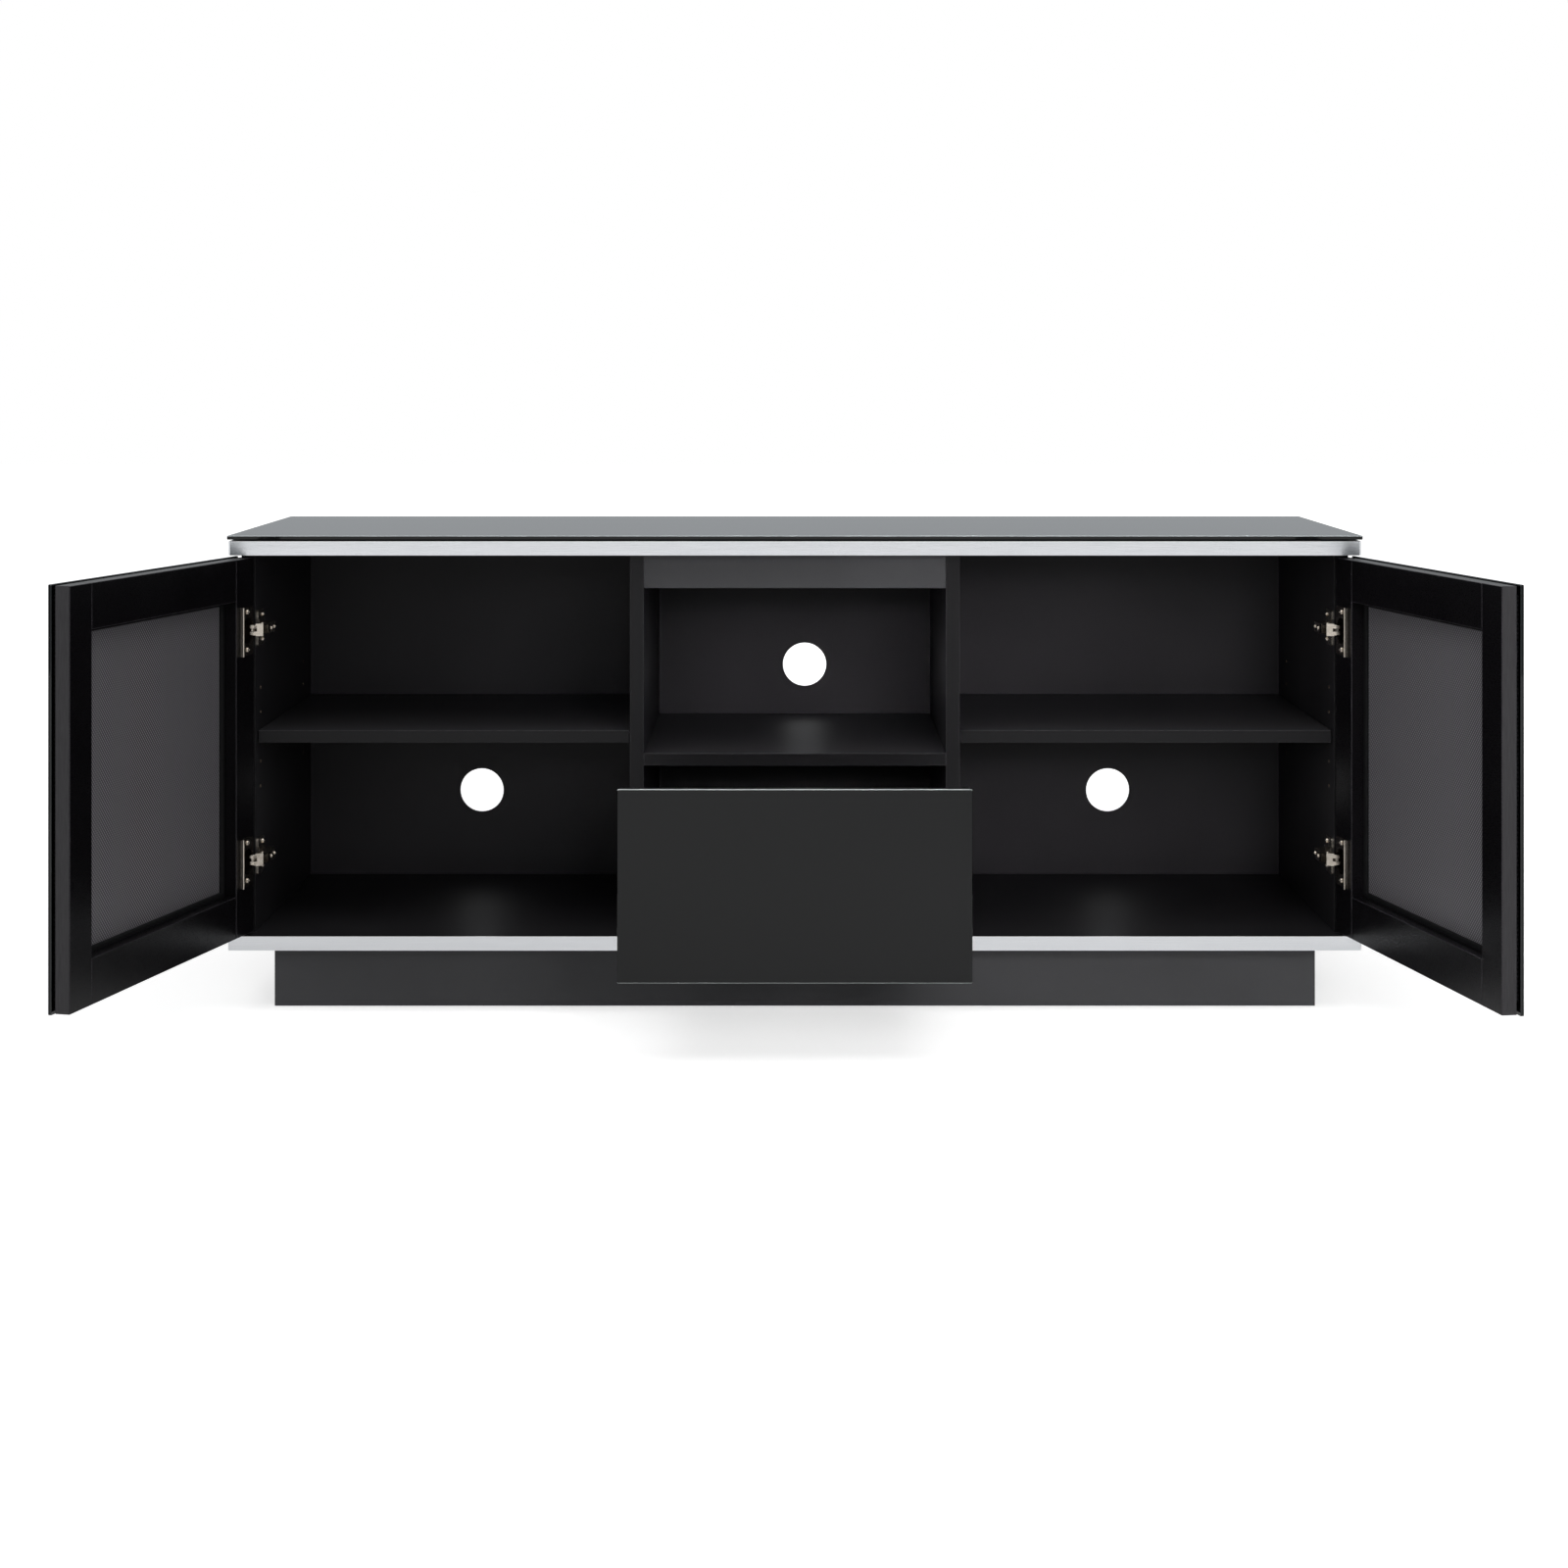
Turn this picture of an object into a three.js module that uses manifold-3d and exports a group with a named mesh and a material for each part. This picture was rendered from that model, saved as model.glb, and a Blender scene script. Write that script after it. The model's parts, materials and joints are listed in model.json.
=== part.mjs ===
// Media cabinet, 1450 mm wide: a black board case between two aluminium-edged panels,
// a loose tempered glass top, two framed glass doors on concealed cup hinges, an open
// niche and a drawer on telescopic slides, all on a recessed plinth.
//
// Millimetres, +Z up. The origin is on the floor, under the middle of the case.
// The front faces -Y. The doors stand open and the drawer is pulled out.

import * as THREE from 'three';
import { RoundedBoxGeometry } from 'three/addons/geometries/RoundedBoxGeometry.js';
import { mergeVertices } from 'three/addons/utils/BufferGeometryUtils.js';
import Module from 'manifold-3d';

const wasm = await Module();
wasm.setup();

// ---------------------------------------------------------------- driving dimensions

const WIDTH = 1450;            // glass top, end to end
const DEPTH = 480;             // glass top, front to back
const HEIGHT = 610;            // floor to glass surface
const PLINTH_HEIGHT = 81;
const PLINTH_INSET = 48;       // behind the trim's front plane
const PLINTH_HALF_WIDTH = 672;
const BOARD = 18;              // case board
const SHELF_BOARD = 16;
const PLINTH_BOARD = 16;
const GLASS_TOP_THICKNESS = 5;
const BUMPER_HEIGHT = 2;
const BUMPER_RADIUS = 9;
const TRIM = 1.5;              // aluminium edge band
const TRIM_OVERHANG = 12;      // past the sides
const FRONT_SETBACK = 28;      // side and divider edges behind the trim's front plane
const SIDE_INNER = 693;        // half the clear width of the case
const NICHE_HALF_WIDTH = 194;
const NICHE_SHELF_TOP = 329;
const FASCIA_HEIGHT = 44;
const BAY_SHELF_TOP = 357;
const BAY_SHELF_SETBACK = 40;
const SHELF_END_GAP = 1.5;     // room for the shelf supports' back plates

const BACK_THICKNESS = 5;
const BACK_FACE = 460;         // front face of the back panel, behind the trim's plane
const GROOVE_DEPTH = 5;
const CABLE_HOLE_RADIUS = 31;
const BAY_HOLE = { x: 448, z: 219 };
const NICHE_HOLE = { x: 14, z: 399 };

const PIN_HOLE = { radius: 2.5, depth: 11, pitch: 32 };
const PIN_ROWS = [65, 395];    // front and rear rows, behind the trim's plane
const PIN_MIDDLE = 346;        // height of the hole that carries the shelf

const DOOR_WIDTH = 501;
const DOOR_INNER_EDGE = 210;   // closed door's free edge, from the centre line
const DOOR_GAP = 2;            // above and below the glass
const DOOR_FRAME = 18;         // frame thickness
const DOOR_GLASS = 4;
const GLASS_STANDOFF = 4;      // between the frame and the glass
const FRAME_INSET = 1.5;       // frame edge inside the glass edge
const STILE = 53;
const MESH_RIM_INSET = 13;     // mesh panel's rim inside the glass edge
const MESH_SHEET = 1;
const DOOR_OPEN = { left: 103.5, right: 101 };   // degrees, as the doors stand

const HINGE_SPREAD = 147;      // hinge centres above and below the door's middle
const CUP = { fromEdge: 22.5, radius: 17.3, depth: 13, wall: 1.1, boreRadius: 17.6, boreDepth: 13.5 };
const FLANGE = { near: 5, far: 46, halfHeight: 31, thickness: 1 };
const LIP = { height: 6.5, thickness: 1.2, bead: 1 };
const DOOR_AXIS = { fromEdge: 6, behindFace: 11 };
const ARM = { web: 18, back: 46, halfHeight: 6.4, sheet: 1.3 };
const PLATE = { thickness: 2.4, screwRow: 37, halfHeight: 23, front: 5, neck: 14, waist: 11.5 };
const OUTER_LINK = { x: -10, y: -8.2, shut: 9.5, perDegree: 0.43, length: 16.6, pin: 1.5 };
const INNER_LINK = { x: -4.5, y: -5, shut: -25, perDegree: 0.4, pin: 1, halfWidth: 1.7 };

const DRAWER_PULL = 293;       // as it stands
const DRAWER_HALF_WIDTH = 209;
const DRAWER_FRONT_HEIGHT = 228;
const DRAWER_FRONT_BOARD = 18;
const BOX_BOARD = 12;
const BOX_LENGTH = 400;
const BOX_BOTTOM = 112;
const BOX_HEIGHT = 150;
const BOX_FLOOR = { thickness: 4, above: 10, groove: 5 };
const SLIDE = { gap: 12.7, length: 400, middle: 187, sheet: 1.2 };

const SEAM = 0.2;              // glue or paint line between pieces that touch
const FIT = 0.3;               // around pieces that sit in a cut

// ------------------------------------------------------------------ derived places

const FRONT = -DEPTH / 2;                       // the trim's front plane
const REAR = DEPTH / 2;
const FLOOR_PANEL_TOP = PLINTH_HEIGHT + BOARD;
const GLASS_BOTTOM = HEIGHT - GLASS_TOP_THICKNESS;
const TOP_PANEL_TOP = GLASS_BOTTOM - BUMPER_HEIGHT;
const TOP_PANEL_BOTTOM = TOP_PANEL_TOP - BOARD;
const CASE_HALF_WIDTH = SIDE_INNER + BOARD + TRIM_OVERHANG;
const SIDE_OUTER = SIDE_INNER + BOARD;
const DIVIDER_OUTER = NICHE_HALF_WIDTH + BOARD;
const DOOR_BOTTOM = FLOOR_PANEL_TOP + DOOR_GAP;
const DOOR_TOP = TOP_PANEL_BOTTOM - DOOR_GAP;
const DOOR_MIDDLE = (DOOR_BOTTOM + DOOR_TOP) / 2;
const DOOR_THICKNESS = DOOR_GLASS + GLASS_STANDOFF + DOOR_FRAME;

// Distance behind the trim's front plane, as a Y value.
const behind = (distance) => FRONT + distance;

// ----------------------------------------------------------------------- materials

const finish = (color, roughness, metalness = 0) =>
  new THREE.MeshStandardMaterial({ color, roughness, metalness });

const blackBoard = () => finish('#1a191a', 0.45);
const greyBoard = () => finish('#39393b', 0.5);
const doorFrame = () => finish('#161416', 0.4);
const hardboard = () => finish('#201f20', 0.55);
const aluminium = () => finish('#c9cbd0', 0.35, 1);
const blackGlass = () => finish('#0b0c0e', 0.05);
const meshSheet = () => finish('#4c4a4e', 0.45, 0.8);
const nickel = () => finish('#c8c0b4', 0.25, 1);
const zincSteel = () => finish('#b4b6b8', 0.35, 1);

// ---------------------------------------------------------------- geometry helpers

function toSolid(geometry) {
  const bare = geometry.clone();
  bare.deleteAttribute('normal');
  bare.deleteAttribute('uv');
  const merged = mergeVertices(bare, 1e-4);
  return new wasm.Manifold(new wasm.Mesh({
    numProp: 3,
    vertProperties: new Float32Array(merged.attributes.position.array),
    triVerts: new Uint32Array(merged.index.array),
  }));
}

function toGeometry(solid) {
  const mesh = solid.getMesh();
  const geometry = new THREE.BufferGeometry();
  geometry.setAttribute('position', new THREE.BufferAttribute(mesh.vertProperties, 3));
  geometry.setIndex(new THREE.BufferAttribute(mesh.triVerts, 1));
  return geometry;
}

const cut = (body, tools) =>
  toGeometry(tools.reduce((solid, tool) => solid.subtract(toSolid(tool)), toSolid(body)));

const join = (body, others) =>
  toGeometry(others.reduce((solid, other) => solid.add(toSolid(other)), toSolid(body)));

// A board between two corners, with its edges eased.
function board(x, y, z, edge = 0.7) {
  const size = [x, y, z].map(([low, high]) => Math.abs(high - low));
  const middle = [x, y, z].map(([low, high]) => (low + high) / 2);
  const geometry = edge > 0
    ? new RoundedBoxGeometry(...size, 1, edge)
    : new THREE.BoxGeometry(...size);
  return geometry.translate(...middle);
}

// Turns an extrusion made along +Z so that it runs along the named axis. The outline's
// two coordinates are then the next two axes in the order X, Y, Z, X, Y.
const TURN = {
  x: new THREE.Matrix4().set(0, 0, 1, 0, 1, 0, 0, 0, 0, 1, 0, 0, 0, 0, 0, 1),
  y: new THREE.Matrix4().set(0, 1, 0, 0, 0, 0, 1, 0, 1, 0, 0, 0, 0, 0, 0, 1),
  z: new THREE.Matrix4(),
};

function extrude(axis, shape, from, to, bevel = 0) {
  const geometry = new THREE.ExtrudeGeometry(shape, {
    depth: to - from - 2 * bevel,
    bevelEnabled: bevel > 0,
    bevelThickness: bevel,
    bevelSize: bevel,
    bevelOffset: -bevel,
    bevelSegments: 1,
    curveSegments: 5,
  });
  return geometry.translate(0, 0, from + bevel).applyMatrix4(TURN[axis]);
}

const outline = (points) => new THREE.Shape(points.map(([s, t]) => new THREE.Vector2(s, t)));

const prism = (axis, points, from, to) => extrude(axis, outline(points), from, to);

// A cylinder along the named axis, centred on the other two coordinates.
function rod(axis, centre, radius, from, to, segments = 24) {
  const geometry = new THREE.CylinderGeometry(radius, radius, to - from, segments);
  geometry.rotateX(Math.PI / 2).translate(centre[0], centre[1], (from + to) / 2);
  return geometry.applyMatrix4(TURN[axis]);
}

function roundedRectangle(halfWidth, halfHeight, radius) {
  const shape = new THREE.Shape();
  shape.absarc(halfWidth - radius, halfHeight - radius, radius, 0, Math.PI / 2);
  shape.absarc(radius - halfWidth, halfHeight - radius, radius, Math.PI / 2, Math.PI);
  shape.absarc(radius - halfWidth, radius - halfHeight, radius, Math.PI, 1.5 * Math.PI);
  shape.absarc(halfWidth - radius, radius - halfHeight, radius, 1.5 * Math.PI, 2 * Math.PI);
  return shape;
}

function piece(name, geometry, material) {
  const mesh = new THREE.Mesh(geometry, material);
  mesh.name = name;
  return mesh;
}

const SIDES = [{ name: 'left', sign: -1 }, { name: 'right', sign: 1 }];

// Both ends of a span from the centre line outwards, on the given side.
const span = (sign, near, far) => (sign > 0 ? [near, far] : [-far, -near]);

// ------------------------------------------------------------- case: top and bottom

function glassTop() {
  const shape = roundedRectangle(WIDTH / 2, DEPTH / 2, 3);
  return piece('glass_top', extrude('z', shape, GLASS_BOTTOM, HEIGHT, 0.8), blackGlass());
}

// A horizontal panel with the back panel's groove in its inner face.
function horizontalPanel(low, grooveSide) {
  const high = low + BOARD;
  const front = behind(TRIM + SEAM);
  const groove = [behind(BACK_FACE) - FIT, behind(BACK_FACE + BACK_THICKNESS) + FIT];
  const inner = grooveSide > 0 ? high : low;
  const grooveFloor = inner - grooveSide * GROOVE_DEPTH;
  const outer = grooveSide > 0 ? low : high;
  const points = [
    [front, outer], [front, inner], [groove[0], inner], [groove[0], grooveFloor],
    [groove[1], grooveFloor], [groove[1], inner], [REAR, inner], [REAR, outer],
  ];
  const halfWidth = CASE_HALF_WIDTH - TRIM - SEAM;
  return prism('x', points, -halfWidth, halfWidth);
}

// The glass rests on two rows of round bumpers stuck to the top panel.
function topPanel() {
  const bumpers = [];
  for (const x of [-660, -220, 220, 660]) {
    for (const y of [-200, 200]) {
      bumpers.push(rod('z', [x, y], BUMPER_RADIUS, TOP_PANEL_TOP - 1, GLASS_BOTTOM, 20));
    }
  }
  const panel = horizontalPanel(TOP_PANEL_BOTTOM, -1);
  return piece('top_panel', join(panel, bumpers), blackBoard());
}

const bottomPanel = () => piece('bottom_panel', horizontalPanel(PLINTH_HEIGHT, 1), blackBoard());

// The edge band runs along the front and back along both ends, bent round two corners.
function edgeBand(name, low) {
  const bend = 2.5;
  const bore = 0.5;
  const outerX = CASE_HALF_WIDTH;
  const innerX = CASE_HALF_WIDTH - TRIM;
  const innerY = FRONT + TRIM;
  const shape = new THREE.Shape();
  shape.moveTo(outerX, REAR);
  shape.lineTo(innerX, REAR);
  shape.absarc(innerX - bore, innerY + bore, bore, 0, -Math.PI / 2, true);
  shape.absarc(bore - innerX, innerY + bore, bore, 1.5 * Math.PI, Math.PI, true);
  shape.lineTo(-innerX, REAR);
  shape.lineTo(-outerX, REAR);
  shape.absarc(bend - outerX, FRONT + bend, bend, Math.PI, 1.5 * Math.PI);
  shape.absarc(outerX - bend, FRONT + bend, bend, 1.5 * Math.PI, 2 * Math.PI);
  return piece(name, extrude('z', shape, low, low + BOARD), aluminium());
}

// -------------------------------------------------------- case: uprights and shelves

// Holes for shelf supports, and the two supports in use, on one bay-side face.
// The face is at x, and the board's material lies towards `into` (+1 or -1) from it.
function drilledUpright(body, x, into) {
  const holes = [];
  for (const row of PIN_ROWS) {
    for (const step of [-2, -1, 1, 2]) {
      const centre = [behind(row), PIN_MIDDLE + step * PIN_HOLE.pitch];
      const ends = [x - into, x + into * PIN_HOLE.depth].sort((a, b) => a - b);
      holes.push(rod('x', centre, PIN_HOLE.radius, ...ends, 14));
    }
  }
  const supports = PIN_ROWS.flatMap((row) => shelfSupport(x, behind(row), into));
  return join(cut(body, holes), supports);
}

// An L-shaped support: a back plate on the face with a tab under the shelf.
function shelfSupport(x, y, into) {
  const plate = { thickness: 1, halfWidth: 6, top: PIN_MIDDLE + 6 };
  const tab = { length: 12, thickness: 1.2, top: BAY_SHELF_TOP - SHELF_BOARD - SEAM };
  const wide = [y - plate.halfWidth, y + plate.halfWidth];
  const root = x + into * 0.5;
  const backPlate = [x - into * plate.thickness, root].sort((a, b) => a - b);
  const shelfTab = [x - into * tab.length, root].sort((a, b) => a - b);
  return [
    board(backPlate, wide, [tab.top - tab.thickness, plate.top], 0),
    board(shelfTab, wide, [tab.top - tab.thickness, tab.top], 0),
  ];
}

function sidePanel({ name, sign }) {
  const front = behind(FRONT_SETBACK);
  const groove = [behind(BACK_FACE) - FIT, behind(BACK_FACE + BACK_THICKNESS) + FIT];
  const deep = SIDE_INNER + GROOVE_DEPTH;
  const points = [
    [SIDE_OUTER, front], [SIDE_INNER, front], [SIDE_INNER, groove[0]], [deep, groove[0]],
    [deep, groove[1]], [SIDE_INNER, groove[1]], [SIDE_INNER, REAR], [SIDE_OUTER, REAR],
  ].map(([x, y]) => [sign * x, y]);
  const body = prism('z', points, FLOOR_PANEL_TOP + SEAM, TOP_PANEL_BOTTOM - SEAM);
  return piece(`${name}_side`, drilledUpright(body, sign * SIDE_INNER, sign), blackBoard());
}

function divider({ name, sign }) {
  const x = span(sign, NICHE_HALF_WIDTH, DIVIDER_OUTER);
  const y = [behind(FRONT_SETBACK), behind(BACK_FACE) - FIT];
  const body = board(x, y, [FLOOR_PANEL_TOP + SEAM, TOP_PANEL_BOTTOM - SEAM]);
  return piece(`${name}_divider`, drilledUpright(body, sign * DIVIDER_OUTER, -sign), blackBoard());
}

function nicheShelf() {
  const halfWidth = NICHE_HALF_WIDTH - SEAM;
  const y = [behind(FRONT_SETBACK), behind(BACK_FACE) - FIT];
  const z = [NICHE_SHELF_TOP - SHELF_BOARD, NICHE_SHELF_TOP];
  return piece('niche_shelf', board([-halfWidth, halfWidth], y, z), blackBoard());
}

function nicheFascia() {
  const halfWidth = NICHE_HALF_WIDTH - SEAM;
  const y = [behind(FRONT_SETBACK), behind(FRONT_SETBACK + BOARD)];
  const z = [TOP_PANEL_BOTTOM - FASCIA_HEIGHT, TOP_PANEL_BOTTOM - SEAM];
  return piece('niche_fascia', board([-halfWidth, halfWidth], y, z), greyBoard());
}

function bayShelf({ name, sign }) {
  const x = span(sign, DIVIDER_OUTER + SHELF_END_GAP, SIDE_INNER - SHELF_END_GAP);
  const y = [behind(BAY_SHELF_SETBACK), behind(BACK_FACE) - 2];
  const z = [BAY_SHELF_TOP - SHELF_BOARD, BAY_SHELF_TOP];
  return piece(`${name}_shelf`, board(x, y, z), blackBoard());
}

// One sheet, held in grooves all round, with a round cable hole to each space.
function backPanel() {
  const reach = GROOVE_DEPTH - FIT;
  const halfWidth = SIDE_INNER + reach;
  const y = [behind(BACK_FACE), behind(BACK_FACE + BACK_THICKNESS)];
  const z = [FLOOR_PANEL_TOP - reach, TOP_PANEL_BOTTOM + reach];
  const centres = [[-BAY_HOLE.x, BAY_HOLE.z], [BAY_HOLE.x, BAY_HOLE.z], [NICHE_HOLE.x, NICHE_HOLE.z]];
  const holes = centres.map(([hx, hz]) =>
    rod('y', [hz, hx], CABLE_HOLE_RADIUS, y[0] - 1, y[1] + 1, 40));
  const sheet = board([-halfWidth, halfWidth], y, z, 0);
  return piece('back_panel', cut(sheet, holes), hardboard());
}

function plinth() {
  const z = [0, PLINTH_HEIGHT - SEAM];
  const front = behind(PLINTH_INSET);
  const back = behind(DEPTH - PLINTH_INSET / 2);
  const between = [front + PLINTH_BOARD + SEAM, back - PLINTH_BOARD - SEAM];
  const long = [-PLINTH_HALF_WIDTH, PLINTH_HALF_WIDTH];
  const ends = SIDES.map(({ name, sign }) => {
    const x = span(sign, PLINTH_HALF_WIDTH - PLINTH_BOARD, PLINTH_HALF_WIDTH);
    return piece(`plinth_${name}`, board(x, between, z), greyBoard());
  });
  const half = PLINTH_BOARD / 2;
  return [
    piece('plinth_front', board(long, [front, front + PLINTH_BOARD], z), greyBoard()),
    piece('plinth_back', board(long, [back - PLINTH_BOARD, back], z), greyBoard()),
    ...ends,
    piece('plinth_brace', board([-half, half], between, z), greyBoard()),
  ];
}

// ---------------------------------------------------------------------------- hinge
//
// Hinge places are given in plan from the inner front corner of the side: x outwards
// through the side, y back into the case. The door turns about one fixed axis in front
// of the side's edge. Two bent links are pinned to the arm's nose and reach over the
// rim into the cup; each turns the opposite way to the door, by a fixed share of it.

// A link's direction in plan, in degrees from x, for a door open by the given angle.
const linkAngle = (link, open) => link.shut - link.perDegree * open;

// Bent from sheet: a front web, two cheeks that straddle the arm's nose, and a forked
// tongue that carries on into the cup. The arm's pin is at the origin.
function outerLinkGeometry() {
  const cheek = { inner: 6.7, outer: 7.9 };
  const web = [-5.2, -4.2];
  const { length, pin } = OUTER_LINK;
  const side = new THREE.Shape();
  side.moveTo(8, 1.2);
  side.absarc(0, 0, 3, Math.PI / 2, 1.2 * Math.PI);
  side.lineTo(1, web[0]);
  side.lineTo(11.5, web[0]);
  side.lineTo(11.5, -2.6);
  const block = extrude('z', side, -cheek.outer, cheek.outer);
  const hollow = board([-10, 20], [web[1], 10], [-cheek.inner, cheek.inner], 0);
  const bore = rod('z', [0, 0], pin + 0.15, -10, 10, 16);
  const tongue = new THREE.Shape();
  tongue.moveTo(9, web[1]);
  tongue.lineTo(9, web[0]);
  tongue.lineTo(14, web[0]);
  tongue.lineTo(17.6, -3);
  tongue.absarc(length, 0, 1.5, -Math.PI / 6, Math.PI);
  tongue.lineTo(13.2, web[1]);
  const shoulder = prism('z', [[9, web[0]], [14, web[0]], [15.2, -4.4], [15.2, web[1]], [9, web[1]]],
    -cheek.inner, cheek.inner);
  const fork = extrude('z', tongue, -4.4, 4.4);
  const slotHalf = INNER_LINK.halfWidth + 0.35;
  const slot = board([9.5, 25], [-8, 8], [-slotHalf, slotHalf], 0);
  return cut(join(cut(block, [hollow, bore]), [shoulder, fork]), [slot]);
}

// A bent bar that works between the outer link's cheeks and its fork.
function innerLinkGeometry() {
  const bar = new THREE.Shape();
  bar.moveTo(3, 1);
  bar.absarc(0, 0, 1.9, Math.PI / 3, 1.5 * Math.PI);
  for (const [l, m] of [
    [6.9, -2.4], [11.9, -2.35], [14.5, -1.5], [15.3, 0.1],
    [14.1, 0.3], [13.6, -0.4], [11.7, -0.95], [6.9, -1],
  ]) {
    bar.lineTo(l, m);
  }
  const body = extrude('z', bar, -INNER_LINK.halfWidth, INNER_LINK.halfWidth);
  return cut(body, [rod('z', [0, 0], INNER_LINK.pin + 0.15, -10, 10, 16)]);
}

// The arm is a channel clipped on its mounting plate.
function armGeometry() {
  const base = -PLATE.thickness - SEAM;
  const profile = new THREE.Shape();
  profile.moveTo(base, ARM.back);
  profile.lineTo(-ARM.web + 4, ARM.back);
  profile.lineTo(-ARM.web, ARM.back - 6);
  profile.lineTo(-ARM.web, 6);
  profile.absarc(OUTER_LINK.x, OUTER_LINK.y, 2.8, 1.1 * Math.PI, 1.6 * Math.PI);
  profile.absarc(INNER_LINK.x, INNER_LINK.y, 2.4, 1.6 * Math.PI, 2 * Math.PI);
  profile.lineTo(base, 6);
  const body = extrude('z', profile, -ARM.halfHeight, ARM.halfHeight);
  const inside = ARM.halfHeight - ARM.sheet;
  const hollow = board([-ARM.web + ARM.sheet, 5], [-20, ARM.back + 5], [-inside, inside], 0);
  const outerPin = rod('z', [OUTER_LINK.x, OUTER_LINK.y], OUTER_LINK.pin, -8.6, 8.6, 16);
  const innerPin = rod('z', [INNER_LINK.x, INNER_LINK.y], INNER_LINK.pin, -inside - 1, inside + 1, 16);
  return join(cut(body, [hollow]), [outerPin, innerPin, ...mountingPlate(inside)]);
}

// The plate reaches forward in an ear above and below the arm, waisted between them.
function mountingPlate(inside) {
  const { thickness, screwRow: row, halfHeight, front, neck, waist } = PLATE;
  const plate = [-thickness - SEAM, -SEAM];
  const ease = 2;
  const upper = [
    [neck, 0], [neck, waist - ease], [neck - ease, waist], [front, waist],
    [front, halfHeight - ease], [front + ease, halfHeight], [row + 5, halfHeight],
    [row + 8, halfHeight - 3], [row + 8, waist], [row + 20, ARM.halfHeight], [row + 20, 0],
  ];
  const lower = upper.slice(1, -1).reverse().map(([y, z]) => [y, -z]);
  const base = prism('x', [...upper, ...lower], ...plate);
  const block = board([-12, -1], [24, row + 8], [-inside - 0.2, inside + 0.2], 0);
  return [base, block];
}

// Reflects a geometry in the plane x = 0 and turns its faces back outwards.
function mirroredInX(geometry) {
  const flipped = geometry.clone().scale(-1, 1, 1);
  const index = flipped.index.array;
  for (let i = 0; i < index.length; i += 3) {
    [index[i + 1], index[i + 2]] = [index[i + 2], index[i + 1]];
  }
  return flipped;
}

// The cup and its flange, in the door's own closed frame. The cup axis is along Y.
function cupGeometry(sign) {
  const { radius, depth, wall } = CUP;
  const profile = [
    [0, 0], [radius - 1.5, 0], [radius, 1.5], [radius, depth],
    [radius - wall, depth], [radius - wall, 1.8], [radius - 2.2, wall], [0, wall],
  ].map(([r, h]) => new THREE.Vector2(r, h));
  const face = DOOR_THICKNESS;
  const cup = new THREE.LatheGeometry(profile, 32).translate(0, face - depth + 0.1, 0);
  const middle = (FLANGE.near + FLANGE.far) / 2;
  const wide = (FLANGE.far - FLANGE.near) / 2;
  const away = (u) => -sign * (u - CUP.fromEdge);
  const plate = extrude('y', flangeShape(sign, wide), face + SEAM - 0.1, face + SEAM + FLANGE.thickness)
    .translate(away(middle), 0, 0);
  const mouth = rod('y', [0, 0], radius - wall, face - 3, face + 5, 32);
  const lipX = [away(FLANGE.far - LIP.thickness), away(FLANGE.far)].sort((a, b) => a - b);
  const lipTop = face + SEAM + LIP.height;
  const half = FLANGE.halfHeight;
  const lip = board(lipX, [face + SEAM, lipTop - LIP.bead], [-half, half], 0);
  const beadCentre = [away(FLANGE.far - LIP.thickness / 2), lipTop - LIP.bead];
  const bead = rod('z', beadCentre, LIP.bead, -half, half, 12);
  return join(cut(plate, [mouth]), [cup, lip, bead]);
}

// The flange's outline, Z first: rounded at the door's edge, square along the lip.
function flangeShape(sign, wide) {
  const { halfHeight: half } = FLANGE;
  const radius = 6;
  const shape = new THREE.Shape();
  shape.moveTo(half, -wide);
  shape.lineTo(half, wide - radius);
  shape.absarc(half - radius, wide - radius, radius, 0, Math.PI / 2);
  shape.absarc(radius - half, wide - radius, radius, Math.PI / 2, Math.PI);
  shape.lineTo(-half, -wide);
  return sign > 0 ? shape : new THREE.Shape(shape.getPoints(5).reverse()
    .map(({ x, y }) => new THREE.Vector2(x, -y)));
}

// ---------------------------------------------------------------------------- doors

// Everything on a door is placed by its distance from the door's hinge edge, `u`, and
// by its depth behind the glass face. The door's own frame has its axis at the origin.
function doorSpan(sign, low, high) {
  const ends = [low, high].map((u) => sign * (DOOR_AXIS.fromEdge - u));
  return ends.sort((a, b) => a - b);
}

const AXIS_DEPTH = DOOR_THICKNESS - DOOR_AXIS.behindFace;
const doorDepth = (low, high) => [low - AXIS_DEPTH, high - AXIS_DEPTH];

function hingeHeights() {
  return [
    { name: 'upper', z: DOOR_MIDDLE + HINGE_SPREAD },
    { name: 'lower', z: DOOR_MIDDLE - HINGE_SPREAD },
  ];
}

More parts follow.
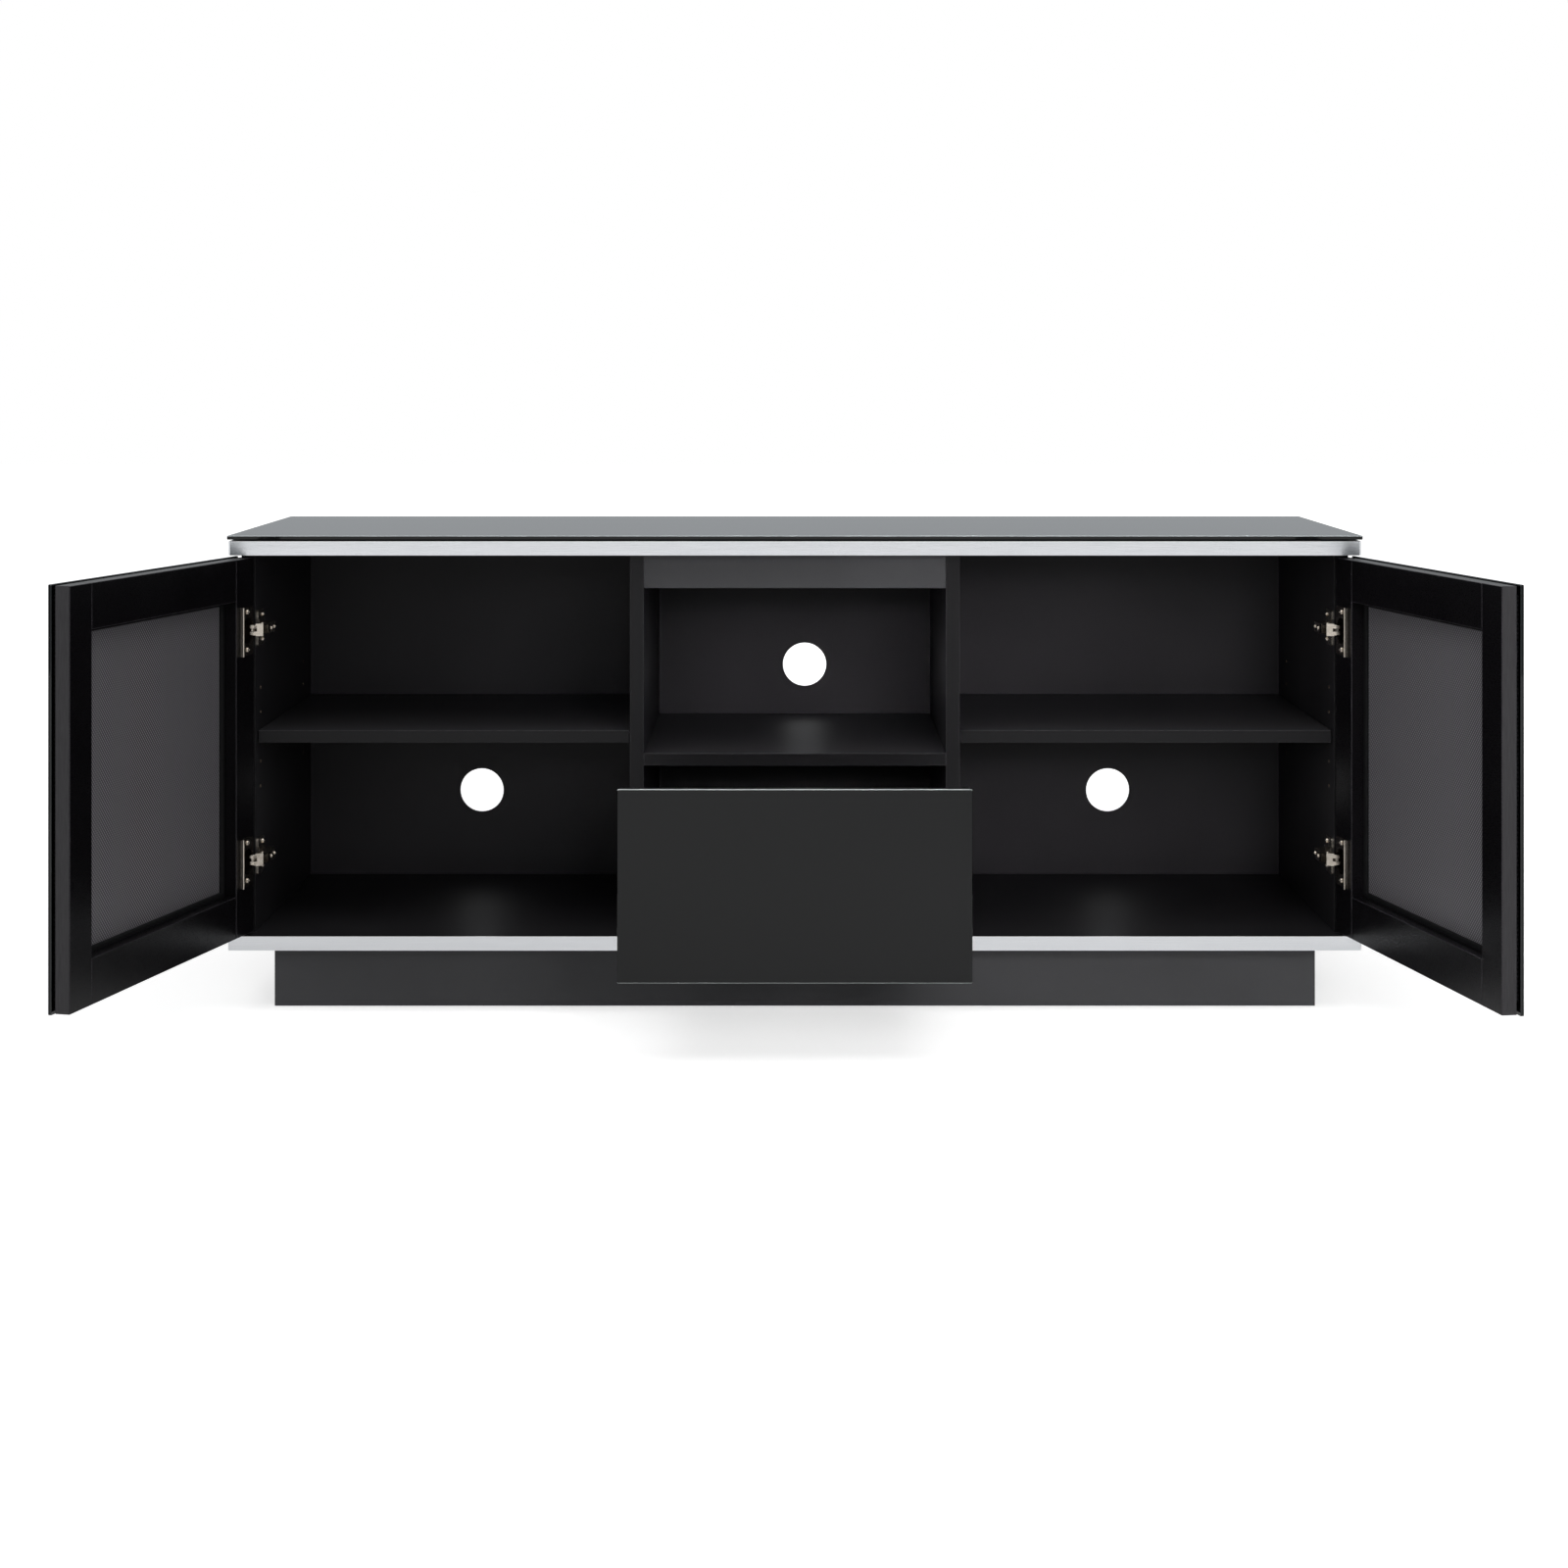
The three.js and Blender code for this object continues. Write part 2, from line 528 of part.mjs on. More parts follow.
function doorPieces({ name, sign }) {
  const frameDepth = doorDepth(DOOR_GLASS + GLASS_STANDOFF, DOOR_THICKNESS);
  const frame = {
    near: FRAME_INSET, far: DOOR_WIDTH - FRAME_INSET,
    low: DOOR_BOTTOM + FRAME_INSET, high: DOOR_TOP - FRAME_INSET,
  };
  const bores = hingeHeights().map(({ z }) => {
    const x = sign * (DOOR_AXIS.fromEdge - CUP.fromEdge);
    return rod('y', [z, x], CUP.boreRadius, frameDepth[1] - CUP.boreDepth, frameDepth[1] + 5, 32);
  });
  const hingeStile = board(
    doorSpan(sign, frame.near, frame.near + STILE), frameDepth, [frame.low, frame.high]);
  const freeStile = board(
    doorSpan(sign, frame.far - STILE, frame.far), frameDepth, [frame.low, frame.high]);
  const railSpan = doorSpan(sign, frame.near + STILE + FIT, frame.far - STILE - FIT);
  const topRail = board(railSpan, frameDepth, [frame.high - STILE, frame.high]);
  const bottomRail = board(railSpan, frameDepth, [frame.low, frame.low + STILE]);
  const glassShape = roundedRectangle(DOOR_WIDTH / 2, (DOOR_TOP - DOOR_BOTTOM) / 2, 1.5);
  const glass = extrude('y', glassShapeTurned(glassShape), ...doorDepth(0, DOOR_GLASS), 0.6)
    .translate(sign * (DOOR_AXIS.fromEdge - DOOR_WIDTH / 2), 0, DOOR_MIDDLE);
  return [
    piece(`${name}_door_hinge_stile`, cut(hingeStile, bores), doorFrame()),
    piece(`${name}_door_free_stile`, freeStile, doorFrame()),
    piece(`${name}_door_top_rail`, topRail, doorFrame()),
    piece(`${name}_door_bottom_rail`, bottomRail, doorFrame()),
    piece(`${name}_door_mesh`, meshPanel(sign, frame), meshSheet()),
    piece(`${name}_door_glass`, glass, blackGlass()),
  ];
}

// The outline for an extrusion along Y has Z first and X second.
function glassShapeTurned(shape) {
  return new THREE.Shape(shape.getPoints(4).map((p) => new THREE.Vector2(p.y, p.x)));
}

// A thin sheet just behind the glass, with a rim that holds the glass off the frame.
function meshPanel(sign, frame) {
  const rimSpan = doorSpan(sign, MESH_RIM_INSET, DOOR_WIDTH - MESH_RIM_INSET);
  const rimHeight = [DOOR_BOTTOM + MESH_RIM_INSET, DOOR_TOP - MESH_RIM_INSET];
  const sheetBack = DOOR_GLASS + FIT + MESH_SHEET;
  const depth = doorDepth(DOOR_GLASS + FIT, DOOR_GLASS + GLASS_STANDOFF - FIT);
  const opening = board(
    doorSpan(sign, frame.near + STILE, frame.far - STILE),
    doorDepth(sheetBack, DOOR_THICKNESS), [frame.low + STILE, frame.high - STILE], 0);
  return cut(board(rimSpan, depth, rimHeight, 0), [opening]);
}

function door(side) {
  const { name, sign } = side;
  const group = new THREE.Group();
  group.position.set(sign * (SIDE_OUTER - DOOR_AXIS.fromEdge), FRONT + AXIS_DEPTH, 0);
  group.rotation.z = sign * THREE.MathUtils.degToRad(DOOR_OPEN[name]);
  group.add(...doorPieces(side));
  for (const hinge of hingeHeights()) {
    const cup = cupGeometry(sign);
    cup.translate(sign * (DOOR_AXIS.fromEdge - CUP.fromEdge), -AXIS_DEPTH, hinge.z);
    group.add(piece(`${name}_${hinge.name}_hinge_cup`, cup, nickel()));
  }
  return group;
}

// Arms and links, placed from the side's inner front corner.
function hingeFittings({ name, sign }) {
  const group = new THREE.Group();
  group.position.set(sign * SIDE_INNER, behind(FRONT_SETBACK), 0);
  const parts = [
    { suffix: 'arm', geometry: armGeometry(), x: 0, y: 0, angle: 0 },
    linkPart('outer_link', outerLinkGeometry(), OUTER_LINK, DOOR_OPEN[name]),
    linkPart('inner_link', innerLinkGeometry(), INNER_LINK, DOOR_OPEN[name]),
  ];
  for (const hinge of hingeHeights()) {
    for (const { suffix, geometry, x, y, angle } of parts) {
      const handed = sign > 0 ? geometry.clone() : mirroredInX(geometry);
      const mesh = piece(`${name}_${hinge.name}_hinge_${suffix}`, handed, nickel());
      mesh.position.set(sign * x, y, hinge.z);
      mesh.rotation.z = sign * THREE.MathUtils.degToRad(angle);
      group.add(mesh);
    }
  }
  return group;
}

function linkPart(suffix, geometry, link, open) {
  return { suffix, geometry, x: link.x, y: link.y, angle: linkAngle(link, open) };
}

// --------------------------------------------------------------------------- drawer

// The front board carries a raised pad that holds the glass off it.
function drawerFront() {
  const low = FLOOR_PANEL_TOP + DOOR_GAP;
  const high = low + DRAWER_FRONT_HEIGHT;
  const back = behind(DOOR_GLASS + GLASS_STANDOFF + DRAWER_FRONT_BOARD);
  const face = behind(DOOR_GLASS + GLASS_STANDOFF);
  const x = [FRAME_INSET - DRAWER_HALF_WIDTH, DRAWER_HALF_WIDTH - FRAME_INSET];
  const panel = board(x, [face, back], [low + FRAME_INSET, high - FRAME_INSET]);
  const padX = [MESH_RIM_INSET - DRAWER_HALF_WIDTH, DRAWER_HALF_WIDTH - MESH_RIM_INSET];
  const padY = [behind(DOOR_GLASS) + SEAM, face + 1];
  const pad = board(padX, padY, [low + MESH_RIM_INSET, high - MESH_RIM_INSET], 0);
  const glassShape = roundedRectangle(DRAWER_FRONT_HEIGHT / 2, DRAWER_HALF_WIDTH, 1.5);
  const glass = extrude('y', glassShape, FRONT, behind(DOOR_GLASS), 0.6)
    .translate(0, 0, (low + high) / 2);
  return [
    piece('drawer_glass', glass, blackGlass()),
    piece('drawer_front_board', join(panel, [pad]), doorFrame()),
  ];
}

function drawerBox() {
  const outer = NICHE_HALF_WIDTH - SLIDE.gap;
  const inner = outer - BOX_BOARD;
  const front = behind(DOOR_THICKNESS + FIT);
  const back = front + BOX_LENGTH;
  const top = BOX_BOTTOM + BOX_HEIGHT;
  const floor = [BOX_BOTTOM + BOX_FLOOR.above, BOX_BOTTOM + BOX_FLOOR.above + BOX_FLOOR.thickness];
  const reach = inner + BOX_FLOOR.groove;
  const sides = SIDES.map(({ name, sign }) => {
    const points = [
      [BOX_BOTTOM, outer], [top, outer], [top, inner], [floor[1] + FIT, inner],
      [floor[1] + FIT, reach], [floor[0] - FIT, reach], [floor[0] - FIT, inner],
      [BOX_BOTTOM, inner],
    ].map(([z, x]) => [z, sign * x]);
    return piece(`drawer_${name}_side`, prism('y', points, front, back), blackBoard());
  });
  const backX = [SEAM - inner, inner - SEAM];
  const backBoard = board(backX, [back - BOX_BOARD, back], [floor[1] + SEAM, top - 12]);
  const floorX = [FIT - reach, reach - FIT];
  const floorBoard = board(floorX, [front, back], floor, 0);
  return [
    ...sides,
    piece('drawer_back', backBoard, blackBoard()),
    piece('drawer_bottom', floorBoard, hardboard()),
  ];
}

// A rolled channel: a web on one side and two lips turned towards the drawer.
function channel(sign, web, lip, halfHeight) {
  const sheet = SLIDE.sheet;
  const webInner = lip < web ? web - sheet : web + sheet;
  const high = halfHeight;
  const low = halfHeight - sheet;
  const points = [
    [high, web], [high, lip], [low, lip], [low, webInner],
    [-low, webInner], [-low, lip], [-high, lip], [-high, web],
  ].map(([z, x]) => [SLIDE.middle + z, sign * x]);
  const from = behind(FRONT_SETBACK + 2);
  return prism('y', points, from, from + SLIDE.length);
}

// Three nested members a side: the middle one moves half as far as the drawer.
function slideMembers({ name, sign }) {
  const caseWeb = NICHE_HALF_WIDTH - SEAM;
  const drawerWeb = NICHE_HALF_WIDTH - SLIDE.gap + SEAM;
  return {
    fixed: piece(`${name}_slide_case_member`, channel(sign, caseWeb, 184.2, 22.6), zincSteel()),
    middle: piece(`${name}_slide_middle_member`, channel(sign, 191, 184.2, 19.6), zincSteel()),
    moving: piece(`${name}_slide_drawer_member`, channel(sign, drawerWeb, 188.4, 16.6), zincSteel()),
  };
}

function shifted(distance, pieces) {
  const group = new THREE.Group();
  group.position.y = -distance;
  group.add(...pieces);
  return group;
}

// ------------------------------------------------------------------------- assembly

const cabinet = new THREE.Group();

cabinet.add(
  glassTop(),
  topPanel(),
  edgeBand('top_trim', TOP_PANEL_BOTTOM),
  bottomPanel(),
  edgeBand('bottom_trim', PLINTH_HEIGHT),
  nicheShelf(),
  nicheFascia(),
  backPanel(),
  ...plinth(),
);

for (const side of SIDES) {
  cabinet.add(sidePanel(side), divider(side), bayShelf(side), hingeFittings(side), door(side));
}

const slides = SIDES.map(slideMembers);
cabinet.add(
  ...slides.map(({ fixed }) => fixed),
  shifted(DRAWER_PULL / 2, slides.map(({ middle }) => middle)),
  shifted(DRAWER_PULL, [
    ...slides.map(({ moving }) => moving),
    ...drawerFront(),
    ...drawerBox(),
  ]),
);

export default cabinet;
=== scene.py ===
"""Media cabinet with a glass top, two framed glass doors, a niche and a drawer.

The cabinet's solids come from the frame. This script gives them their finishes, adds
the small fittings that the solids leave out, and sets the studio up round them.
Metres, +Z up, the front faces -Y.
"""

import json
import math

import bmesh
import bpy
from mathutils import Matrix, Vector


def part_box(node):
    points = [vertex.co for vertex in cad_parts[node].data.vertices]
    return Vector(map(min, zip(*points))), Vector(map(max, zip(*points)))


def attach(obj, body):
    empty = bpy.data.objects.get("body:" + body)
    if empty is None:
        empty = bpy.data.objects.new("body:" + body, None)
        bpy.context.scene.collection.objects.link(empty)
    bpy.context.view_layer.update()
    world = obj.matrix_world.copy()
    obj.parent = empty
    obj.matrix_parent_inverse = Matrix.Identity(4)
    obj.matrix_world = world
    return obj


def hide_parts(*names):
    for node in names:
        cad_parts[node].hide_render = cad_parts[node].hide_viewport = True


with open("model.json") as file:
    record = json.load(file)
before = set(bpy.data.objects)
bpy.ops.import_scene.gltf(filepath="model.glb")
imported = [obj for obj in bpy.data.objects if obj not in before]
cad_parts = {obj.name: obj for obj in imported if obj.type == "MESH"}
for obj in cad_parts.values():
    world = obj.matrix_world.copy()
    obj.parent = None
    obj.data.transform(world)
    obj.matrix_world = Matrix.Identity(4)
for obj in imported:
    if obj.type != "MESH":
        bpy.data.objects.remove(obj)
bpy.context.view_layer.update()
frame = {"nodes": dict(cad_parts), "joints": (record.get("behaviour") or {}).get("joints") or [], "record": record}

bl_info = {
    "name": "Media Cabinet",
    "version": (1, 0, 0),
    "blender": (4, 5, 0),
    "location": "View3D > Sidebar > Cabinet",
    "description": "Finishes, fittings and studio for a glass-topped media cabinet",
    "category": "Object",
}

SIDES = (("left", -1), ("right", 1))
LEVELS = ("upper", "lower")


# ------------------------------------------------------------------------ small tools


def linear(hex_colour):
    """An sRGB hex colour as linear RGBA."""
    values = [int(hex_colour[i:i + 2], 16) / 255 for i in (1, 3, 5)]
    return [v / 12.92 if v <= 0.04045 else ((v + 0.055) / 1.055) ** 2.4 for v in values] + [1.0]


def fill(tree, node, inputs):
    """Sets a node's inputs: a node or a socket is linked, a hex colour is made linear,
    and any other value is set as it is."""
    for key, value in dict(inputs).items():
        if isinstance(value, bpy.types.Node):
            value = value.outputs[0]
        if isinstance(value, bpy.types.NodeSocket):
            tree.links.new(value, node.inputs[key])
        else:
            node.inputs[key].default_value = linear(value) if isinstance(value, str) else value


def add_node(tree, kind, inputs=(), stops=(), **settings):
    """Adds a node, sets its properties and inputs, and gives a colour ramp its stops,
    each a position and a hex or linear colour."""
    made = tree.nodes.new(kind)
    for key, value in settings.items():
        setattr(made, key, value)
    while stops and len(made.color_ramp.elements) < len(stops):
        made.color_ramp.elements.new(0.5)
    for element, (position, colour) in zip(made.color_ramp.elements if stops else (), stops):
        element.position = position
        element.color = linear(colour) if isinstance(colour, str) else colour
    fill(tree, made, inputs)
    return made


def bare_tree(owner):
    """The emptied node tree of a material or a world."""
    owner.use_nodes = True
    owner.node_tree.nodes.clear()
    return owner.node_tree


def new_material(name):
    """An empty node material with its output, its shader and object coordinates."""
    material = bpy.data.materials.new(name)
    tree = bare_tree(material)
    shader = add_node(tree, "ShaderNodeBsdfPrincipled")
    add_node(tree, "ShaderNodeOutputMaterial", {"Surface": shader})
    place = add_node(tree, "ShaderNodeTexCoord").outputs["Object"]
    return material, tree, shader, place


def deselect_all():
    if bpy.context.object and bpy.context.object.mode != "OBJECT":
        bpy.ops.object.mode_set(mode="OBJECT")
    bpy.ops.object.select_all(action="DESELECT")


def pick(obj):
    deselect_all()
    obj.select_set(True)
    bpy.context.view_layer.objects.active = obj


def add_box(low, high):
    """A cube added at its size and place, between two corners."""
    low, high = Vector(low), Vector(high)
    deselect_all()
    bpy.ops.mesh.primitive_cube_add(size=1, location=(low + high) / 2)
    bpy.context.object.scale = high - low
    bpy.ops.object.transform_apply(location=True, rotation=False, scale=True)
    return bpy.context.object


def choose(kind, test):
    """In edit mode, selects the edges or faces that pass a test, and nothing else."""
    bpy.ops.mesh.select_mode(type=kind)
    bpy.ops.mesh.select_all(action="DESELECT")
    data = bpy.context.object.data
    mesh = bmesh.from_edit_mesh(data)
    mesh.normal_update()
    for item in mesh.edges if kind == "EDGE" else mesh.faces:
        item.select_set(bool(test(item)))
    mesh.select_flush_mode()
    bmesh.update_edit_mesh(data)


def along(edge, axis):
    """Whether an edge runs along the X, Y or Z axis (0, 1 or 2)."""
    run = edge.verts[1].co - edge.verts[0].co
    return abs(run[axis]) > 0.99 * run.length


def rims(edge, axis):
    """Whether an edge lies between a face square to an axis and one along it."""
    turned = sorted(abs(face.normal[axis]) for face in edge.link_faces)
    return len(turned) == 2 and turned[0] < 0.1 and turned[1] > 0.99


def round_edges(test, offset, segments):
    """Rounds the edges of the active piece that pass a test."""
    bpy.ops.object.mode_set(mode="EDIT")
    choose("EDGE", test)
    bpy.ops.mesh.bevel(offset=offset, segments=segments, affect="EDGES")
    bpy.ops.object.mode_set(mode="OBJECT")


def join_all(pieces):
    """Joins several shells into one piece."""
    deselect_all()
    for piece in pieces:
        piece.select_set(True)
    bpy.context.view_layer.objects.active = pieces[0]
    if len(pieces) > 1:
        bpy.ops.object.join()
    return bpy.context.object


def copy_of(obj, place):
    """A copy with its own mesh, put where a matrix says."""
    pick(obj)
    bpy.ops.object.duplicate(linked=False)
    made = bpy.context.object
    made.matrix_world = place
    return made


def facing(point, direction):
    """The place of a fitting made along +Z, stood at a point and turned to a direction."""
    turn = Vector(direction).to_track_quat("Z", "Y").to_matrix().to_4x4()
    return Matrix.Translation(point) @ turn


def remove(obj):
    bpy.data.objects.remove(obj, do_unlink=True)


def combine(obj, tool, operation):
    """Joins a second solid to a piece, or cuts it out, and removes the second solid."""
    pick(obj)
    bpy.ops.object.modifier_add(type="BOOLEAN")
    step = obj.modifiers[-1]
    step.operation, step.solver, step.object = operation, "EXACT", tool
    bpy.ops.object.modifier_apply(modifier=step.name)
    remove(tool)


def settle(obj, name, body, slot, turn=None, finish=None, smooth=30):
    """Names a finished piece, puts its place in its mesh, and makes it ride its body. A
    piece that has its finishes already keeps them."""
    pick(obj)
    if turn is not None:
        obj.matrix_world = turn @ obj.matrix_world
    bpy.ops.object.transform_apply(location=True, rotation=True, scale=True)
    bpy.ops.object.mode_set(mode="EDIT")
    bpy.ops.mesh.select_all(action="SELECT")
    bpy.ops.mesh.normals_make_consistent(inside=False)
    bpy.ops.object.mode_set(mode="OBJECT")
    bpy.ops.object.shade_smooth_by_angle(angle=math.radians(smooth))
    obj.name = name
    obj.data.name = name
    if finish or not obj.data.materials:
        obj.data.materials.clear()
        obj.data.materials.append(finish_of(finish or slot))
    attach(obj, body)
    return obj


# ----------------------------------------------------------------- places in the frame


def joint_named(name):
    return next(joint for joint in frame["joints"] if joint["name"] == name)


def door_turn(side):
    """The place of a door's own frame: its axis, turned from shut to where it stands."""
    joint = joint_named(f"{side}_door_hinge")
    x, y, _ = joint["pos_m"]
    angle = -math.radians(joint["range_deg"][0]) * joint["axis"][2]
    return Matrix.Translation((x, y, 0)) @ Matrix.Rotation(angle, 4, "Z")


def node_box(node, turn):
    """A solid's lowest and highest corners in the frame that a matrix places."""
    back = turn.inverted()
    points = [back @ vertex.co for vertex in frame["nodes"][node].data.vertices]
    return (Vector([min(p[i] for p in points) for i in range(3)]),
            Vector([max(p[i] for p in points) for i in range(3)]))


def painted_edge_highlight(tree, tone, radius, colour):
    """A tone that turns to a paler colour along a piece's edges, a painted highlight on the
    arrises, and falls back to itself a few tenths of a millimetre away."""
    rounded = add_node(tree, "ShaderNodeBevel", {"Radius": radius}, samples=4).outputs["Normal"]
    flat = add_node(tree, "ShaderNodeNewGeometry").outputs["True Normal"]
    match = add_node(tree, "ShaderNodeVectorMath", {0: rounded, 1: flat}, operation="DOT_PRODUCT")
    edge = add_node(tree, "ShaderNodeMapRange", {
        "Value": match.outputs["Value"], "From Min": 0.995, "From Max": 0.93,
        "To Min": 0, "To Max": 1})
    return add_node(tree, "ShaderNodeMix", {"Factor": edge, "A": tone, "B": colour},
                    data_type="RGBA").outputs["Result"]


def seen_directly(tree, path):
    """1 where the camera sees a surface, straight or through glass, and 0 elsewhere."""
    return add_node(tree, "ShaderNodeMath",
                    {0: path.outputs["Is Camera Ray"], 1: path.outputs["Is Transmission Ray"]},
                    operation="MAXIMUM")


# -------------------------------------------------------------------------- materials


def black_foil_board():
    """Particleboard faced with black melamine foil, pressed against a fine plate, and
    banded in a deeper black along its front edges. Semi-gloss: broad soft reflections
    with a barely broken surface, a painted highlight on the edges, and painted light
    from above on upward faces above 0.2 m."""
    material, tree, shader, place = new_material("melamine_foil_black")
    grain = add_node(tree, "ShaderNodeTexNoise",
                     {"Vector": place, "Scale": 900, "Detail": 3, "Roughness": 0.6})
    cloud = add_node(tree, "ShaderNodeTexNoise", {"Vector": place, "Scale": 7, "Detail": 2})
    tone = add_node(tree, "ShaderNodeValToRGB", {"Fac": cloud},
                    [(0.3, "#19181a"), (0.7, "#1f1e20")])
    normal = add_node(tree, "ShaderNodeNewGeometry").outputs["True Normal"]
    parts = add_node(tree, "ShaderNodeSeparateXYZ", {"Vector": normal})
    front = add_node(tree, "ShaderNodeMath", {0: parts.outputs["Y"], 1: -0.99},
                     operation="LESS_THAN")
    # Upward faces above 0.2 m are mixed to a paler grey: painted light from above on the shelf tops.
    level = add_node(tree, "ShaderNodeMath", {0: parts.outputs["Z"], 1: 0.9},
                     operation="GREATER_THAN")
    height = add_node(tree, "ShaderNodeSeparateXYZ", {"Vector": place}).outputs["Z"]
    below_shelves = 0.2
    shelf = add_node(tree, "ShaderNodeMath", {0: height, 1: below_shelves},
                     operation="GREATER_THAN")
    painted_top_light = add_node(tree, "ShaderNodeMath", {0: level, 1: shelf}, operation="MULTIPLY")
    for share, colour in ((painted_top_light, "#2d2c2e"), (front, "#0b0a0c")):
        tone = add_node(tree, "ShaderNodeMix", {"Factor": share, "A": tone, "B": colour},
                        data_type="RGBA").outputs["Result"]
    # Edges mixed to a paler grey: a painted highlight.
    tone = painted_edge_highlight(tree, tone, 0.0005, "#3c3b3e")
    gloss = add_node(tree, "ShaderNodeMapRange", {"Value": grain, "To Min": 0.42, "To Max": 0.52})
    bump = add_node(tree, "ShaderNodeBump",
                    {"Height": grain, "Strength": 0.08, "Distance": 0.0002})
    fill(tree, shader, {"Base Color": tone, "Roughness": gloss, "Normal": bump,
                        "Specular IOR Level": 0.22, "Coat Weight": 0.05, "Coat Roughness": 0.16})
    return material


def grey_foil_board(name="melamine_foil_dark_grey", tones=("#2f2f31", "#343436")):
    """Particleboard in dark grey foil, satin, with a faint cloudiness in the print."""
    material, tree, shader, place = new_material(name)
    cloud = add_node(tree, "ShaderNodeTexNoise", {"Vector": place, "Scale": 9, "Detail": 3})
    grain = add_node(tree, "ShaderNodeTexNoise", {"Vector": place, "Scale": 1100, "Detail": 2})
    tone = add_node(tree, "ShaderNodeValToRGB", {"Fac": cloud},
                    [(0.3, tones[0]), (0.7, tones[1])])
    gloss = add_node(tree, "ShaderNodeMapRange", {"Value": grain, "To Min": 0.4, "To Max": 0.52})
    bump = add_node(tree, "ShaderNodeBump",
                    {"Height": grain, "Strength": 0.08, "Distance": 0.0002})
    fill(tree, shader, {"Base Color": tone, "Roughness": gloss, "Normal": bump,
                        "Specular IOR Level": 0.25})
    return material


def plinth_foil_board():
    """The plinth's foil: the same satin as the dark grey one, painted a shade paler as painted light that lifts
    the shade under the drawer.
    """
    return grey_foil_board("melamine_foil_plinth_grey", ("#3e3e40", "#434345"))


def orange_peel_hardboard():
    """Hardboard with a black lacquer coat rolled on, which leaves an orange peel of
    about two millimetres a dimple."""
    material, tree, shader, place = new_material("lacquered_hardboard_black")
    peel = add_node(tree, "ShaderNodeTexNoise",
                    {"Vector": place, "Scale": 420, "Detail": 2, "Roughness": 0.5})
    cloud = add_node(tree, "ShaderNodeTexNoise", {"Vector": place, "Scale": 5, "Detail": 2})
    tone = add_node(tree, "ShaderNodeValToRGB", {"Fac": cloud},
                    [(0.3, "#232124"), (0.7, "#29272a")])
    bump = add_node(tree, "ShaderNodeBump",
                    {"Height": peel, "Strength": 0.25, "Distance": 0.0004})
    fill(tree, shader, {"Base Color": tone, "Normal": bump, "Roughness": 0.46,
                        "Specular IOR Level": 0.2})
    return material


def door_foil():
    """Fibreboard frame wrapped in black foil: a smooth satin that shows the pale floor
    low down, and a painted highlight that pales the edges."""
    material, tree, shader, place = new_material("wrapped_fibreboard_black")
    grain = add_node(tree, "ShaderNodeTexNoise",
                     {"Vector": place, "Scale": 1000, "Detail": 3, "Roughness": 0.6})
    cloud = add_node(tree, "ShaderNodeTexNoise", {"Vector": place, "Scale": 8, "Detail": 2})
    tone = add_node(tree, "ShaderNodeValToRGB", {"Fac": cloud},
                    [(0.3, "#09080a"), (0.7, "#0d0c0e")])
    # Edges mixed to a pale grey: a painted highlight.
    tone = painted_edge_highlight(tree, tone, 0.0006, "#57545a")
    gloss = add_node(tree, "ShaderNodeMapRange", {"Value": grain, "To Min": 0.24, "To Max": 0.32})
    bump = add_node(tree, "ShaderNodeBump",
                    {"Height": grain, "Strength": 0.06, "Distance": 0.0002})
    fill(tree, shader, {"Base Color": tone, "Roughness": gloss, "Normal": bump,
                        "Specular IOR Level": 0.1})
    return material


def brushed_anodised_aluminium():
    """Aluminium strip, brushed along its length and anodised clear: fine level lines, a
    highlight that spreads up and down, a cool pale grey, and a painted highlight on the arrises."""
    material, tree, shader, place = new_material("anodised_aluminium_brushed")
    fine = add_node(tree, "ShaderNodeMapping", {"Vector": place, "Scale": (12, 12, 2600)})
    lines = add_node(tree, "ShaderNodeTexNoise",
                     {"Vector": fine, "Scale": 1, "Detail": 4, "Roughness": 0.65})
    coarse = add_node(tree, "ShaderNodeMapping", {"Vector": place, "Scale": (40, 40, 900)})
    broad = add_node(tree, "ShaderNodeTexNoise", {"Vector": coarse, "Scale": 1, "Detail": 2})
    tone = add_node(tree, "ShaderNodeValToRGB", {"Fac": lines},
                    [(0.3, "#d3d5d8"), (0.7, "#dfe1e4")])
    # Arrises mixed to near white: a painted highlight.
    tone = painted_edge_highlight(tree, tone, 0.0006, "#f7f7f5")
    gloss = add_node(tree, "ShaderNodeMapRange", {"Value": broad, "To Min": 0.1, "To Max": 0.18})
    bump = add_node(tree, "ShaderNodeBump",
                    {"Height": lines, "Strength": 0.16, "Distance": 0.0001})
    fill(tree, shader, {"Base Color": tone, "Roughness": gloss, "Normal": bump, "Metallic": 1.0})
    return material


def black_backed_glass():
    """Tempered float glass, painted black on its back: a deep black with clean
    reflections and the slightest waviness from the tempering rollers."""
    material, tree, shader, place = new_material("tempered_glass_black")
    rolled = add_node(tree, "ShaderNodeMapping", {"Vector": place, "Scale": (3, 9, 3)})
    waves = add_node(tree, "ShaderNodeTexNoise", {"Vector": rolled, "Scale": 1, "Detail": 1})
    bump = add_node(tree, "ShaderNodeBump",
                    {"Height": waves, "Strength": 0.02, "Distance": 0.001})
    smears = add_node(tree, "ShaderNodeTexNoise", {"Vector": place, "Scale": 14, "Detail": 4})
    gloss = add_node(tree, "ShaderNodeMapRange",
                     {"Value": smears, "To Min": 0.02, "To Max": 0.05})
    fill(tree, shader, {"Roughness": gloss, "Normal": bump, "Base Color": "#050607", "IOR": 1.52,
                        "Specular IOR Level": 0.28})
    return material


